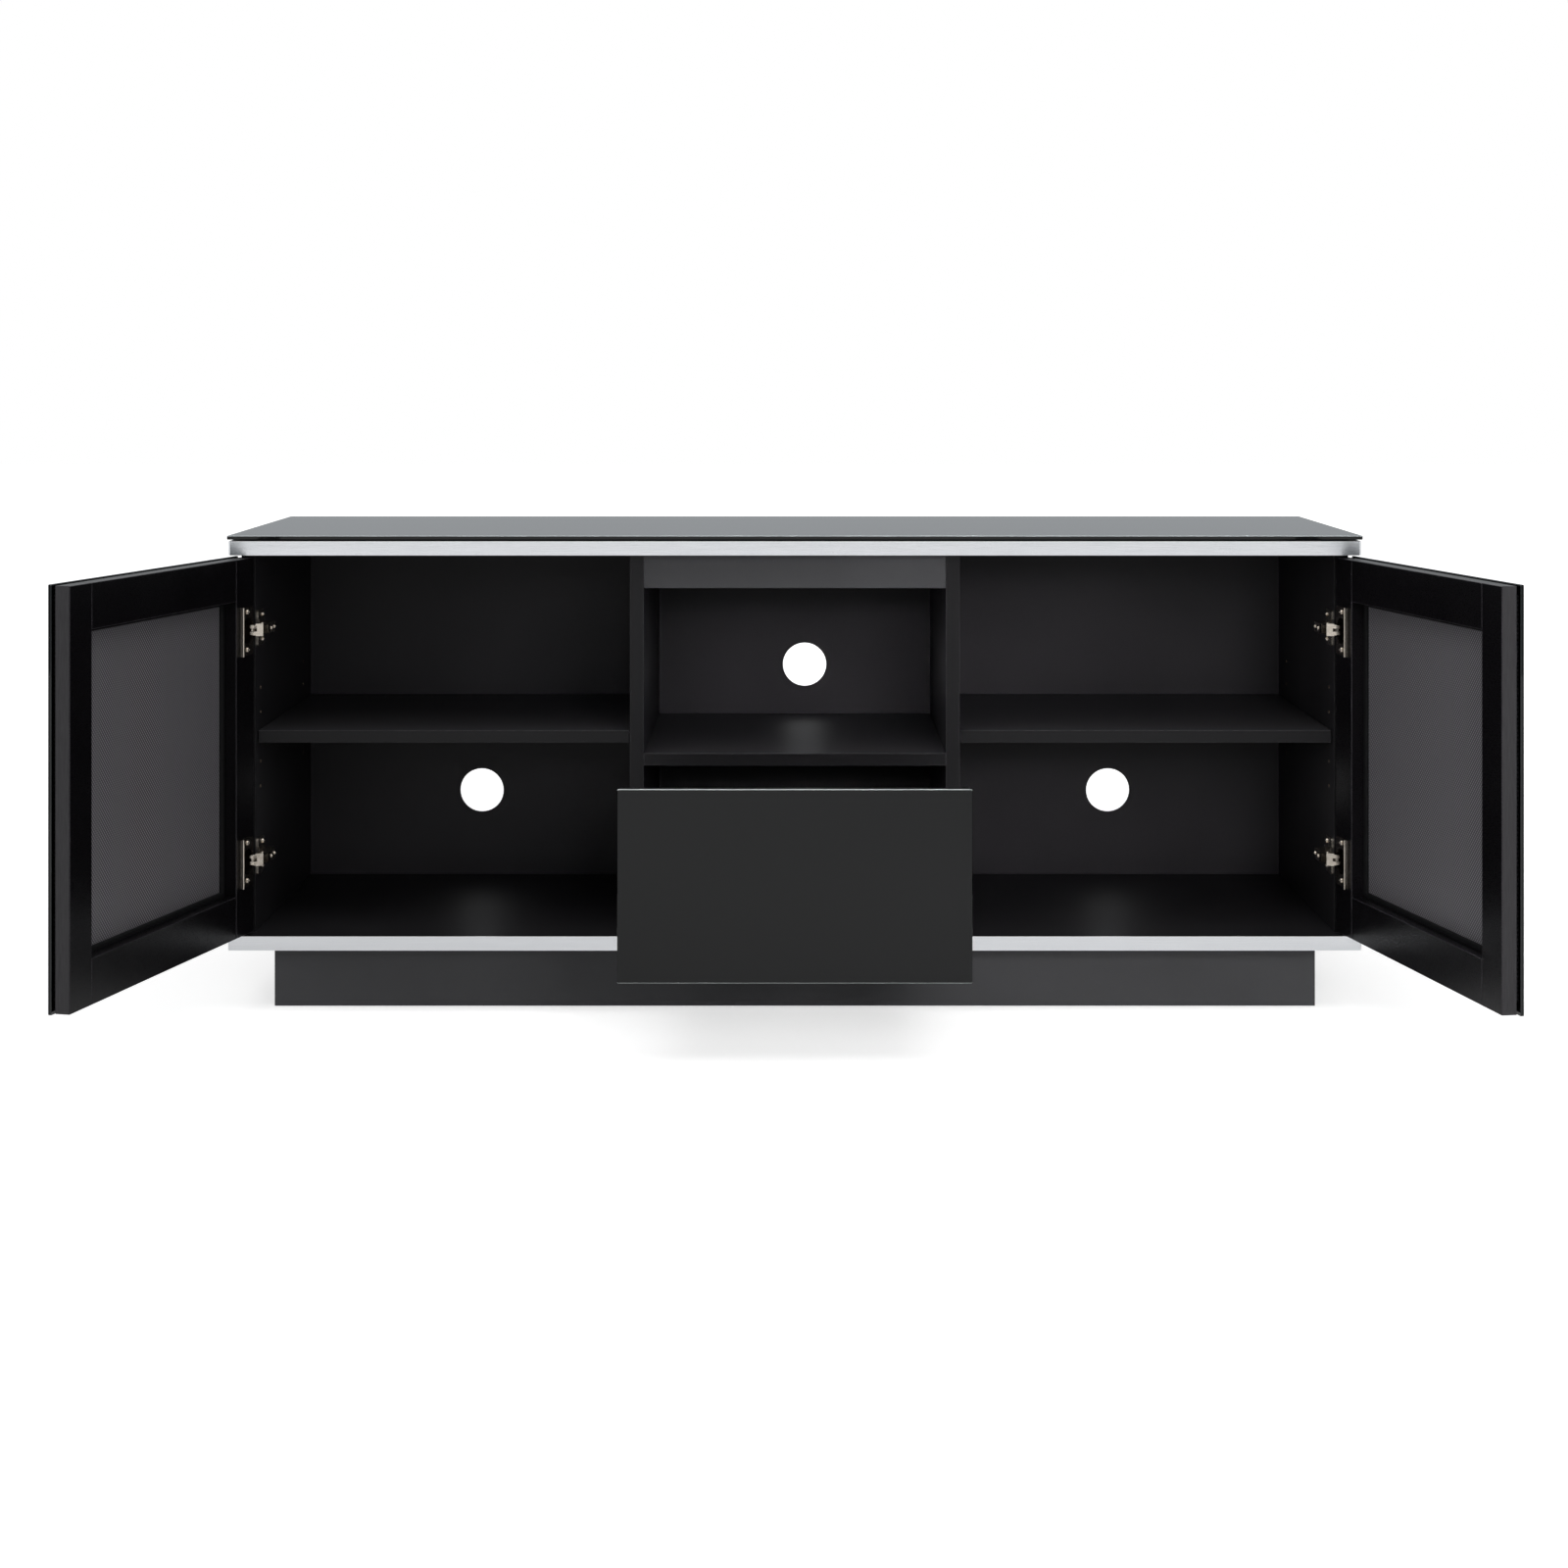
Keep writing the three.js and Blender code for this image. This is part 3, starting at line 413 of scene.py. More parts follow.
def ground_glass_edge():
    """Float glass edge ground with a fine belt: matt, a pale grey with a little of the
    glass's green, and faint lines along the grinding."""
    material, tree, shader, place = new_material("ground_glass_edge")
    scratch = add_node(tree, "ShaderNodeTexNoise", {"Vector": place, "Scale": 1500, "Detail": 3})
    tone = add_node(tree, "ShaderNodeValToRGB", {"Fac": scratch},
                    [(0.3, "#c2cac8"), (0.7, "#d3dad9")])
    bump = add_node(tree, "ShaderNodeBump",
                    {"Height": scratch, "Strength": 0.15, "Distance": 0.0001})
    fill(tree, shader, {"Base Color": tone, "Normal": bump, "IOR": 1.52, "Roughness": 0.35})
    return material


def polished_glass_arris(name="polished_glass_arris", tones=("#b8bfc2", "#cad0d3")):
    """Float glass arris, seamed and polished. Its default pale green grey is a painted
    highlight, a thin bright line over the green grey of the glass."""
    material, tree, shader, place = new_material(name)
    ripple = add_node(tree, "ShaderNodeTexNoise", {"Vector": place, "Scale": 300, "Detail": 2})
    tone = add_node(tree, "ShaderNodeValToRGB", {"Fac": ripple},
                    [(0.3, tones[0]), (0.7, tones[1])])
    fill(tree, shader, {"Base Color": tone, "IOR": 1.52, "Roughness": 0.12})
    return material


def painted_glass_arris():
    """Float glass arris with the black paint of the back carried over it, so that its
    line is thin and dim."""
    return polished_glass_arris("painted_glass_arris", ("#1c2021", "#262b2c"))


def foil_edge_band():
    """Melamine edge band ironed on the cut edge: greyer and flatter than the foil on
    the faces, with a faint drawn grain along it."""
    material, tree, shader, place = new_material("melamine_edge_band_grey")
    drawn = add_node(tree, "ShaderNodeMapping", {"Vector": place, "Scale": (700, 700, 60)})
    grain = add_node(tree, "ShaderNodeTexNoise", {"Vector": drawn, "Scale": 1, "Detail": 3})
    tone = add_node(tree, "ShaderNodeValToRGB", {"Fac": grain},
                    [(0.3, "#272628"), (0.7, "#302f31")])
    bump = add_node(tree, "ShaderNodeBump",
                    {"Height": grain, "Strength": 0.1, "Distance": 0.0002})
    fill(tree, shader, {"Base Color": tone, "Normal": bump, "Roughness": 0.5,
                        "Specular IOR Level": 0.25})
    return material


def bare_particleboard():
    """Raw particleboard where it was drilled: pale brown flakes a millimetre or two
    long, darkened by the glue between them."""
    material, tree, shader, place = new_material("particleboard_drilled")
    flakes = add_node(tree, "ShaderNodeTexVoronoi", {"Vector": place, "Scale": 900})
    tone = add_node(tree, "ShaderNodeValToRGB", {"Fac": flakes.outputs["Distance"]},
                    [(0.2, "#8d7c66"), (0.7, "#5b4d3d")])
    fill(tree, shader, {"Base Color": tone, "Roughness": 0.85, "Specular IOR Level": 0.2})
    return material


def extruded_rubber():
    """Extruded black rubber bead: matt and nearly black, faintly chalky."""
    material, tree, shader, place = new_material("extruded_rubber_black")
    bloom = add_node(tree, "ShaderNodeTexNoise", {"Vector": place, "Scale": 120, "Detail": 4})
    tone = add_node(tree, "ShaderNodeValToRGB", {"Fac": bloom},
                    [(0.35, "#060607"), (0.7, "#0b0b0c")])
    fill(tree, shader, {"Base Color": tone, "Roughness": 0.75, "Specular IOR Level": 0.15})
    return material


def woven_mesh():
    """Fine woven screen, powder coated dark grey: staggered wire crowns with dark pits
    between them. The weave is too fine to show, so it is drawn 2.6 mm apart up the
    sheet and 5.2 mm along it."""
    material, tree, shader, place = new_material("powder_coated_mesh_grey")
    axis = [abs(number) for number in joint_named("right_door_hinge")["pos_m"]]
    parts = add_node(tree, "ShaderNodeSeparateXYZ", {"Vector": place}).outputs
    out = add_node(tree, "ShaderNodeMath", {0: parts["X"]}, operation="ABSOLUTE")
    out = add_node(tree, "ShaderNodeMath", {0: out, 1: axis[0]}, operation="SUBTRACT")
    back = add_node(tree, "ShaderNodeMath", {0: parts["Y"], 1: axis[1]}, operation="ADD")
    flat = add_node(tree, "ShaderNodeCombineXYZ", {0: out, 1: back})
    along_sheet = add_node(tree, "ShaderNodeVectorMath", {0: flat}, operation="LENGTH")
    pitch = 0.0026

    def waves(value, period):
        phase = add_node(tree, "ShaderNodeMath", {0: value, 1: 2 * math.pi / period},
                         operation="MULTIPLY").outputs[0]
        return add_node(tree, "ShaderNodeMath", {0: phase}, operation="COSINE").outputs[0]

    across = waves(along_sheet.outputs["Value"], 2 * pitch)
    up = waves(parts["Z"], 2 * pitch)
    crowns = add_node(tree, "ShaderNodeMath", {0: across, 1: up}, operation="MULTIPLY").outputs[0]
    relief = add_node(tree, "ShaderNodeMapRange", {"Value": crowns, "From Min": -1, "From Max": 1})
    tone = add_node(tree, "ShaderNodeValToRGB", {"Fac": relief},
                    [(0.42, "#3c3a3d"), (0.85, "#918f94")])
    bump = add_node(tree, "ShaderNodeBump",
                    {"Height": crowns, "Strength": 0.5, "Distance": 0.0004})
    fill(tree, shader, {"Base Color": tone, "Normal": bump, "Metallic": 0.3, "Roughness": 0.5})
    return material


def nickel_plated_steel(name="nickel_plated_steel", painted_recess_shade=False):
    """Pressed steel, barrel polished and nickel plated: a warm, bright metal with the
    faint unevenness of pressed sheet."""
    material, tree, shader, place = new_material(name)
    wear = add_node(tree, "ShaderNodeTexNoise", {"Vector": place, "Scale": 260, "Detail": 4})
    tone = add_node(tree, "ShaderNodeValToRGB", {"Fac": wear},
                    [(0.3, "#b9b0a4"), (0.7, "#d3cbc0")])
    if painted_recess_shade:
        # Where ambient occlusion finds a recess, the nickel is mixed to a dark brown: painted shade.
        open_air = add_node(tree, "ShaderNodeAmbientOcclusion", {"Distance": 0.03}, samples=8)
        recess_shade = add_node(tree, "ShaderNodeMapRange", {
            "Value": open_air.outputs["AO"], "From Min": 0.75, "From Max": 0.5,
            "To Min": 0, "To Max": 1})
        tone = add_node(tree, "ShaderNodeMix", {"Factor": recess_shade, "A": tone, "B": "#453f3a"},
                        data_type="RGBA").outputs["Result"]
    gloss = add_node(tree, "ShaderNodeMapRange", {"Value": wear, "To Min": 0.18, "To Max": 0.3})
    bump = add_node(tree, "ShaderNodeBump", {"Height": wear, "Strength": 0.1, "Distance": 0.0002})
    fill(tree, shader, {"Base Color": tone, "Roughness": gloss, "Normal": bump, "Metallic": 1.0})
    return material


def deep_drawn_nickel_steel():
    """Deep-drawn cup steel: the nickel is bright outside, and darkened to a brown down in
    the cup as painted shade."""
    return nickel_plated_steel("nickel_plated_drawn_cup", painted_recess_shade=True)


def zinc_plated_steel():
    """Rolled steel, zinc plated and passivated: cooler and duller than the nickel, with
    a mottled sheen drawn out along the rolling."""
    material, tree, shader, place = new_material("zinc_plated_steel")
    stretched = add_node(tree, "ShaderNodeMapping", {"Vector": place, "Scale": (600, 25, 600)})
    rolled = add_node(tree, "ShaderNodeTexNoise", {"Vector": stretched, "Scale": 1, "Detail": 3})
    tone = add_node(tree, "ShaderNodeValToRGB", {"Fac": rolled},
                    [(0.3, "#a3a6a9"), (0.7, "#c0c2c4")])
    gloss = add_node(tree, "ShaderNodeMapRange",
                     {"Value": rolled, "To Min": 0.28, "To Max": 0.42})
    fill(tree, shader, {"Base Color": tone, "Roughness": gloss, "Metallic": 1.0})
    return material


MATERIALS = {}
MAKERS = {
    "black_board": black_foil_board,
    "grey_board": grey_foil_board,
    "plinth_board": plinth_foil_board,
    "hardboard": orange_peel_hardboard,
    "door_frame": door_foil,
    "aluminium": brushed_anodised_aluminium,
    "black_glass": black_backed_glass,
    "mesh_sheet": woven_mesh,
    "nickel": nickel_plated_steel,
    "drawn_cup": deep_drawn_nickel_steel,
    "zinc_steel": zinc_plated_steel,
    "ground_edge": ground_glass_edge,
    "polished_arris": polished_glass_arris,
    "painted_arris": painted_glass_arris,
    "edge_band": foil_edge_band,
    "rubber": extruded_rubber,
    "bare_board": bare_particleboard,
}


def finish_of(slot):
    if slot not in MATERIALS:
        MATERIALS[slot] = MAKERS[slot]()
    return MATERIALS[slot]


# ------------------------------------------------------------------------- properties


def length(name, description, default):
    """A size in metres that a user may change."""
    return bpy.props.FloatProperty(
        name=name, description=description, default=default, min=0, precision=5, unit="LENGTH")


class CabinetSizes(bpy.types.PropertyGroup):
    arris: length("Glass arris", "Width of the seamed arrises of the top and the doors", 0.0006)
    ground_arris: length("Drawer arris", "Width of the drawer glass's arrises", 0.001)
    door_corner: length("Door glass corner", "Corner radius of the doors' and drawer's glass", 0.0015)
    top_corner: length("Top glass corner", "Corner radius of the glass top", 0.003)
    bead_width: length("Bead width", "Width of the bead that holds the mesh", 0.0058)
    bead_depth: length("Bead depth", "Depth of the bead that holds the mesh", 0.0045)
    mesh_back: length("Mesh back", "Back of the mesh sheet, behind the back of the glass", 0.0013)
    band: length("Edge band", "Thickness of the band on the doors' free edges", 0.0005)
    screw_head: length("Screw head", "Diameter of the hinge screws' heads", 0.0068)
    cup_screw_spread: length("Cup screws", "Each cup screw above or below the hinge's middle", 0.024)
    plate_screw_spread: length("Plate screws", "Each plate screw above or below the middle", 0.016)
    adjuster: length("Adjusting screw", "Diameter of the screws in the hinge arms", 0.0056)
    pin_head: length("Pin head", "Diameter of the link pins' riveted ends", 0.0046)
    ball: length("Ball", "Diameter of the balls in the drawer's slides", 0.0016)
    ball_pitch: length("Ball pitch", "Distance between balls in a row", 0.02)
    hole_wall: length("Hole wall", "Thickness of the bare board shown in a hole", 0.0003)


class StudioSettings(bpy.types.PropertyGroup):
    distance: bpy.props.FloatProperty(
        name="Camera distance", description="From the cabinet's front plane to the camera",
        default=3.75, unit="LENGTH")
    height: bpy.props.FloatProperty(
        name="Camera height", description="Above the floor", default=0.831, unit="LENGTH")
    lens: bpy.props.FloatProperty(
        name="Lens", description="Focal length in millimetres", default=67.5, unit="CAMERA")
    shift: bpy.props.FloatVectorProperty(
        name="Lens shift", description="Across and up, as shares of the picture's width", size=2,
        precision=5, default=(-0.0069, -0.26875))
    floor: bpy.props.FloatVectorProperty(
        name="Floor colour", description="Colour of the studio floor", subtype="COLOR",
        default=linear("#f4f4f4")[:3])


# -------------------------------------------------------------------------- operators


class CABINET_OT_finishes(bpy.types.Operator):
    """Gives every solid of the cabinet its finish"""
    bl_idname = "cabinet.finishes"
    bl_label = "Finishes"

    # Solids whose finish differs a little from the rest of their slot's: the plinth's is painted paler as painted
    # light, the cups' carry painted shade.
    SPECIAL = {"plinth": "plinth_board", "hinge_cup": "drawn_cup"}

    def execute(self, context):
        for part in frame["record"]["subparts"]:
            solid = frame["nodes"][part["node"]]
            finish = part["material_slot"]
            for word, special in self.SPECIAL.items():
                if word in part["node"]:
                    finish = special
            solid.data.materials.clear()
            solid.data.materials.append(finish_of(finish))
        return {"FINISHED"}


def glass_pane(low, high, axis, corner, arris, finishes, edged):
    """A pane with rounded corners and a seamed arris all round. An `axis` of 0, 1 or 2
    is the one through the glass. `edged` tells the faces of the second finish by their
    normals."""
    pane = add_box(low, high)
    for finish in finishes:
        pane.data.materials.append(finish_of(finish))
    bpy.ops.object.mode_set(mode="EDIT")
    choose("EDGE", lambda edge: along(edge, axis))
    bpy.ops.mesh.bevel(offset=corner, segments=5, affect="EDGES")
    choose("EDGE", lambda edge: rims(edge, axis))
    bpy.ops.mesh.bevel(offset=arris, segments=3, affect="EDGES")
    choose("FACE", lambda face: edged(face.normal))
    pane.active_material_index = 1
    bpy.ops.object.material_slot_assign()
    bpy.ops.object.mode_set(mode="OBJECT")
    return pane


class CABINET_OT_glass(bpy.types.Operator):
    """Cuts the glass top and the panes of the doors and the drawer, with seamed edges"""
    bl_idname = "cabinet.glass"
    bl_label = "Glass"

    def execute(self, context):
        sizes = context.scene.cabinet_sizes
        low, high = node_box("glass_top", Matrix())
        # Only the top's upward arrises get the pale arris finish: a painted highlight from the light above.
        top = glass_pane(low, high, 2, sizes.top_corner, sizes.arris,
                         ("black_glass", "polished_arris"), lambda normal: 0.05 < normal.z < 0.99)
        self.fit(top, "glass_top", "case", None)
        low, high = node_box("drawer_glass", Matrix())
        drawer = glass_pane(low, high, 1, sizes.door_corner, sizes.ground_arris,
                            ("black_glass", "ground_edge"), lambda normal: abs(normal.z) > 0.3)
        self.fit(drawer, "drawer_glass", "drawer", None)
        for side, _ in SIDES:
            turn = door_turn(side)
            low, high = node_box(f"{side}_door_glass", turn)
            door = glass_pane(low, high, 1, sizes.door_corner, sizes.arris,
                              ("black_glass", "painted_arris"),
                              lambda normal: 0.05 < abs(normal.y) < 0.99)
            self.fit(door, f"{side}_door_glass", f"{side}_door", turn)
        return {"FINISHED"}

    def fit(self, pane, node, body, turn):
        settle(pane, f"{node}_pane", body, "black_glass", turn, smooth=10)
        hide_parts(node)


class CABINET_OT_door_trim(bpy.types.Operator):
    """Fits the bead round each door's mesh and the band on each door's free edge"""
    bl_idname = "cabinet.door_trim"
    bl_label = "Door Beads and Edge Bands"

    def execute(self, context):
        sizes = context.scene.cabinet_sizes
        for side, sign in SIDES:
            turn = door_turn(side)
            boxes = {part: node_box(f"{side}_door_{part}", turn)
                     for part in ("hinge_stile", "free_stile", "top_rail", "bottom_rail", "glass")}
            self.bead(side, turn, boxes, sizes)
            self.edge_band(side, sign, turn, boxes, sizes)
        return {"FINISHED"}

    def bead(self, side, turn, boxes, sizes):
        play = 0.0001
        inner, outer = sorted((boxes["hinge_stile"], boxes["free_stile"]), key=lambda box: box[0].x)
        low = Vector((inner[1].x + play, 0, boxes["bottom_rail"][1].z + play))
        high = Vector((outer[0].x - play, 0, boxes["top_rail"][0].z - play))
        low.y = high.y = boxes["glass"][1].y + sizes.mesh_back + play
        deselect_all()
        bpy.ops.mesh.primitive_plane_add(size=1, location=(low + high) / 2,
                                         rotation=(math.radians(-90), 0, 0))
        ring = bpy.context.object
        ring.scale = (high.x - low.x, high.z - low.z, 1)
        bpy.ops.object.transform_apply(location=True, rotation=True, scale=True)
        bpy.ops.object.mode_set(mode="EDIT")
        bpy.ops.mesh.select_all(action="SELECT")
        bpy.ops.mesh.inset(thickness=sizes.bead_width, depth=0)
        bpy.ops.mesh.delete(type="FACE")
        bpy.ops.mesh.select_all(action="SELECT")
        bpy.ops.mesh.extrude_region_move(
            TRANSFORM_OT_translate={"value": (0, sizes.bead_depth, 0)})
        back = low.y + sizes.bead_depth - play
        middle = (low + high) / 2
        half = (high - low) / 2 - Vector((sizes.bead_width, 0, sizes.bead_width))
        choose("EDGE", lambda edge: all(
            v.co.y > back and abs(v.co.x - middle.x) < half.x + play
            and abs(v.co.z - middle.z) < half.z + play for v in edge.verts))
        bpy.ops.mesh.bevel(offset=sizes.bead_depth * 0.6, segments=4, affect="EDGES")
        bpy.ops.object.mode_set(mode="OBJECT")
        settle(ring, f"{side}_door_mesh_bead", f"{side}_door", "door_frame", turn, "rubber")

    def edge_band(self, side, sign, turn, boxes, sizes):
        low, high = (corner.copy() for corner in boxes["free_stile"])
        eased = 0.0007
        if sign < 0:
            low.x, high.x = high.x, high.x + sizes.band
        else:
            low.x, high.x = low.x - sizes.band, low.x
        low += Vector((0, eased, eased))
        high -= Vector((0, eased, eased))
        band = add_box(low, high)
        outer = high.x if sign < 0 else low.x
        round_edges(lambda edge: all(abs(v.co.x - outer) < 1e-5 for v in edge.verts),
                    sizes.band * 0.7, 3)
        settle(band, f"{side}_door_edge_band", f"{side}_door", "door_frame", turn,
               "edge_band", smooth=10)


def domed_disc(diameter, height, sides, rounding, segments):
    """A low disc with its upper rim rounded, its seat at the origin, facing +Z."""
    deselect_all()
    bpy.ops.mesh.primitive_cylinder_add(
        vertices=sides, radius=diameter / 2, depth=height, location=(0, 0, height / 2))
    bpy.ops.object.transform_apply(location=True, rotation=False, scale=False)
    round_edges(lambda edge: rims(edge, 2) and edge.verts[0].co.z > height / 2, rounding, segments)
    return bpy.context.object


def screw_head(diameter, height):
    """A pan head with a cross cut in it."""
    head = domed_disc(diameter, height, 28, height * 0.6, 4)
    reach, width = diameter * 0.31, diameter * 0.085
    for angle in (0, math.pi / 2):
        cutter = add_box((-reach, -width, height * 0.35), (reach, width, height * 2))
        bpy.ops.object.mode_set(mode="EDIT")
        choose("FACE", lambda face: face.normal.z < -0.9)
        bpy.ops.transform.resize(value=(0.45, 0.8, 1))
        bpy.ops.object.mode_set(mode="OBJECT")
        cutter.rotation_euler.z = angle
        combine(head, cutter, "DIFFERENCE")
    return head


class CABINET_OT_hinge_screws(bpy.types.Operator):
    """Drives the screws of the hinge cups, plates and arms, and rivets the link pins"""
    bl_idname = "cabinet.hinge_screws"
    bl_label = "Hinge Screws and Pins"

    SCREW_HEIGHT, ADJUSTER_HEIGHT, RIVET_HEIGHT = 0.0019, 0.0014, 0.0009
    # A cup's centre from the glass's hinge edge, how far the stile stops short of that
    # edge, the thickness of the cup's flange, and how deep a head is seated in it.
    CUP_FROM_EDGE, EDGE_GAP, FLANGE, SEATING = 0.0225, 0.0015, 0.0012, 0.0001
    # How far the shelf supports and the plate's ears stand off the side's inner face, the
    # row of the plate's screws behind the side's front edge, the two adjusting screws
    # from that row, and the ends of the pin from the hinge's middle.
    SUPPORT, EAR, SCREW_ROW, ADJUSTERS, PIN_REACH = 0.012, 0.0025, 0.037, (-0.023, -0.001), 0.0081

    def execute(self, context):
        sizes = context.scene.cabinet_sizes
        pan = screw_head(sizes.screw_head, self.SCREW_HEIGHT)
        cheese = screw_head(sizes.adjuster, self.ADJUSTER_HEIGHT)
        rivet = domed_disc(sizes.pin_head, self.RIVET_HEIGHT, 20, self.RIVET_HEIGHT * 0.8, 3)
        for side, sign in SIDES:
            turn = door_turn(side)
            for level in LEVELS:
                hinge = f"{side}_{level}_hinge"
                self.cup_screws(hinge, side, turn, pan, sizes)
                self.arm_screws(hinge, side, sign, pan, cheese, sizes)
                self.pin_heads(hinge, side, rivet)
        for pattern in (pan, cheese, rivet):
            remove(pattern)
        return {"FINISHED"}

    def cup_screws(self, hinge, side, turn, pan, sizes):
        """Two in the flange, above and below the cup, on the line through its centre."""
        low, high = node_box(f"{hinge}_cup", turn)
        stile = node_box(f"{side}_door_hinge_stile", turn)
        edge, outward = (stile[1].x, 1) if side == "right" else (stile[0].x, -1)
        x = edge + (self.EDGE_GAP - self.CUP_FROM_EDGE) * outward
        seat = stile[1].y + self.FLANGE - self.SEATING
        middle = (low.z + high.z) / 2
        heads = [copy_of(pan, facing((x, seat, middle + up * sizes.cup_screw_spread), (0, 1, 0)))
                 for up in (-1, 1)]
        settle(join_all(heads), f"{hinge}_cup_screws", f"{side}_door", "nickel", turn)

    def arm_screws(self, hinge, side, sign, pan, cheese, sizes):
        """Two in the plate's ears, and two adjusting screws in the arm's web."""
        low, high = node_box(f"{hinge}_arm", Matrix())
        middle = (low.z + high.z) / 2
        inward = (-sign, 0, 0)
        side_low, side_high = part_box(f"{side}_side")
        face = min(abs(side_low.x), abs(side_high.x)) + self.SUPPORT
        plate = sign * (face - self.EAR)
        row = side_low.y + self.SCREW_ROW
        heads = [copy_of(pan, facing((plate, row, middle + up * sizes.plate_screw_spread), inward))
                 for up in (-1, 1)]
        settle(join_all(heads), f"{hinge}_plate_screws", "case", "nickel")
        web = sign * min(abs(low.x), abs(high.x))
        heads = [copy_of(cheese, facing((web, row + step, middle), inward))
                 for step in self.ADJUSTERS]
        settle(join_all(heads), f"{hinge}_adjusting_screws", "case", "nickel")

    def pin_heads(self, hinge, side, rivet):
        """The ends of the outer link's pin, headed over its cheeks."""
        low, high = node_box(f"{hinge}_arm", Matrix())
        middle = (low.z + high.z) / 2
        x, y, _ = joint_named(f"{side}_outer_links_pivot")["pos_m"]
        heads = [copy_of(rivet, facing((x, y, middle + up * self.PIN_REACH), (0, 0, up)))
                 for up in (-1, 1)]
        settle(join_all(heads), f"{hinge}_pin_heads", "case", "nickel")


def prism_between(outline, low, high):
    """A closed solid that stands on an outline in X and Y, between two heights."""
    deselect_all()
    bpy.ops.mesh.primitive_circle_add(
        vertices=len(outline), radius=0.001, fill_type="NGON", location=(0, 0, 0))
    obj = bpy.context.object
    for vertex, (x, y) in zip(obj.data.vertices, outline):
        vertex.co = (x, y, low)
    bpy.ops.object.mode_set(mode="EDIT")
    bpy.ops.mesh.select_all(action="SELECT")
    bpy.ops.mesh.extrude_region_move(TRANSFORM_OT_translate={"value": (0, 0, high - low)})
    bpy.ops.mesh.select_all(action="SELECT")
    bpy.ops.mesh.normals_make_consistent(inside=False)
    bpy.ops.object.mode_set(mode="OBJECT")
    return obj


def merged_copy(node):
    """A copy of a solid of the frame, with its loose triangles joined up."""
    obj = copy_of(frame["nodes"][node], Matrix())
    pick(obj)
    bpy.ops.object.mode_set(mode="EDIT")
    bpy.ops.mesh.select_all(action="SELECT")
    bpy.ops.mesh.remove_doubles(threshold=1e-5)
    bpy.ops.object.mode_set(mode="OBJECT")
    return obj


class CABINET_OT_outer_links(bpy.types.Operator):
    """Remakes the hinges' outer links with broad tines and eased bends"""
    bl_idname = "cabinet.outer_links"
    bl_label = "Hinge Outer Links"

    # The tines' bent front in the link's own plan, in millimetres from its arm pin.
    TINE = ((10, -5.2), (14, -5.2), (17.6, -3.0), (17.9, -0.8), (16.8, -0.8), (14, -4.1), (10, -4.1))
    # Each tine's inner and outer face above or below the link's middle.
    SLOT, BROAD = 0.00205, 0.0061
    # The link's turn with the door shut, in degrees.
    SHUT_ANGLE = 9.5

    def execute(self, context):
        for side, sign in SIDES:
            joint = joint_named(f"{side}_outer_links_pivot")
            couplings = frame["record"]["behaviour"]["couplings"]
            ratio = next(c["ratio"] for c in couplings if c["joint"] == joint["name"])
            open_angle = -joint_named(f"{side}_door_hinge")["range_deg"][0]
            angle = math.radians(self.SHUT_ANGLE - ratio * open_angle)
            outline = [self.turned(x / 1000, y / 1000, angle) for x, y in self.TINE]
            outline = [(joint["pos_m"][0] + sign * x, joint["pos_m"][1] + y) for x, y in outline]
            for level in LEVELS:
                self.link(f"{side}_{level}_hinge_outer_link", side, outline)
        return {"FINISHED"}

    def turned(self, x, y, angle):
        return (x * math.cos(angle) - y * math.sin(angle),
                x * math.sin(angle) + y * math.cos(angle))

    def link(self, node, side, outline):
        low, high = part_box(node)
        middle = (low.z + high.z) / 2
        link = merged_copy(node)
        for up in (-1, 1):
            ends = sorted((middle + up * self.SLOT, middle + up * self.BROAD))
            combine(link, prism_between(outline, *ends), "UNION")
        pick(link)
        bpy.ops.object.mode_set(mode="EDIT")
        bpy.ops.mesh.select_all(action="SELECT")
        bpy.ops.mesh.remove_doubles(threshold=1e-5)
        bpy.ops.mesh.dissolve_limited(angle_limit=math.radians(0.5))
        bpy.ops.mesh.quads_convert_to_tris(quad_method="BEAUTY", ngon_method="BEAUTY")
        bpy.ops.object.mode_set(mode="OBJECT")
        bpy.ops.object.modifier_add(type="BEVEL")
        bend = link.modifiers[-1]
        bend.width, bend.segments, bend.limit_method = 0.00015, 2, "ANGLE"
        bend.angle_limit = math.radians(35)
        bend.use_clamp_overlap = True
        bpy.ops.object.modifier_apply(modifier=bend.name)
        settle(link, f"{node}_pressed", f"{side}_outer_links", "nickel", smooth=8)
        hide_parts(node)


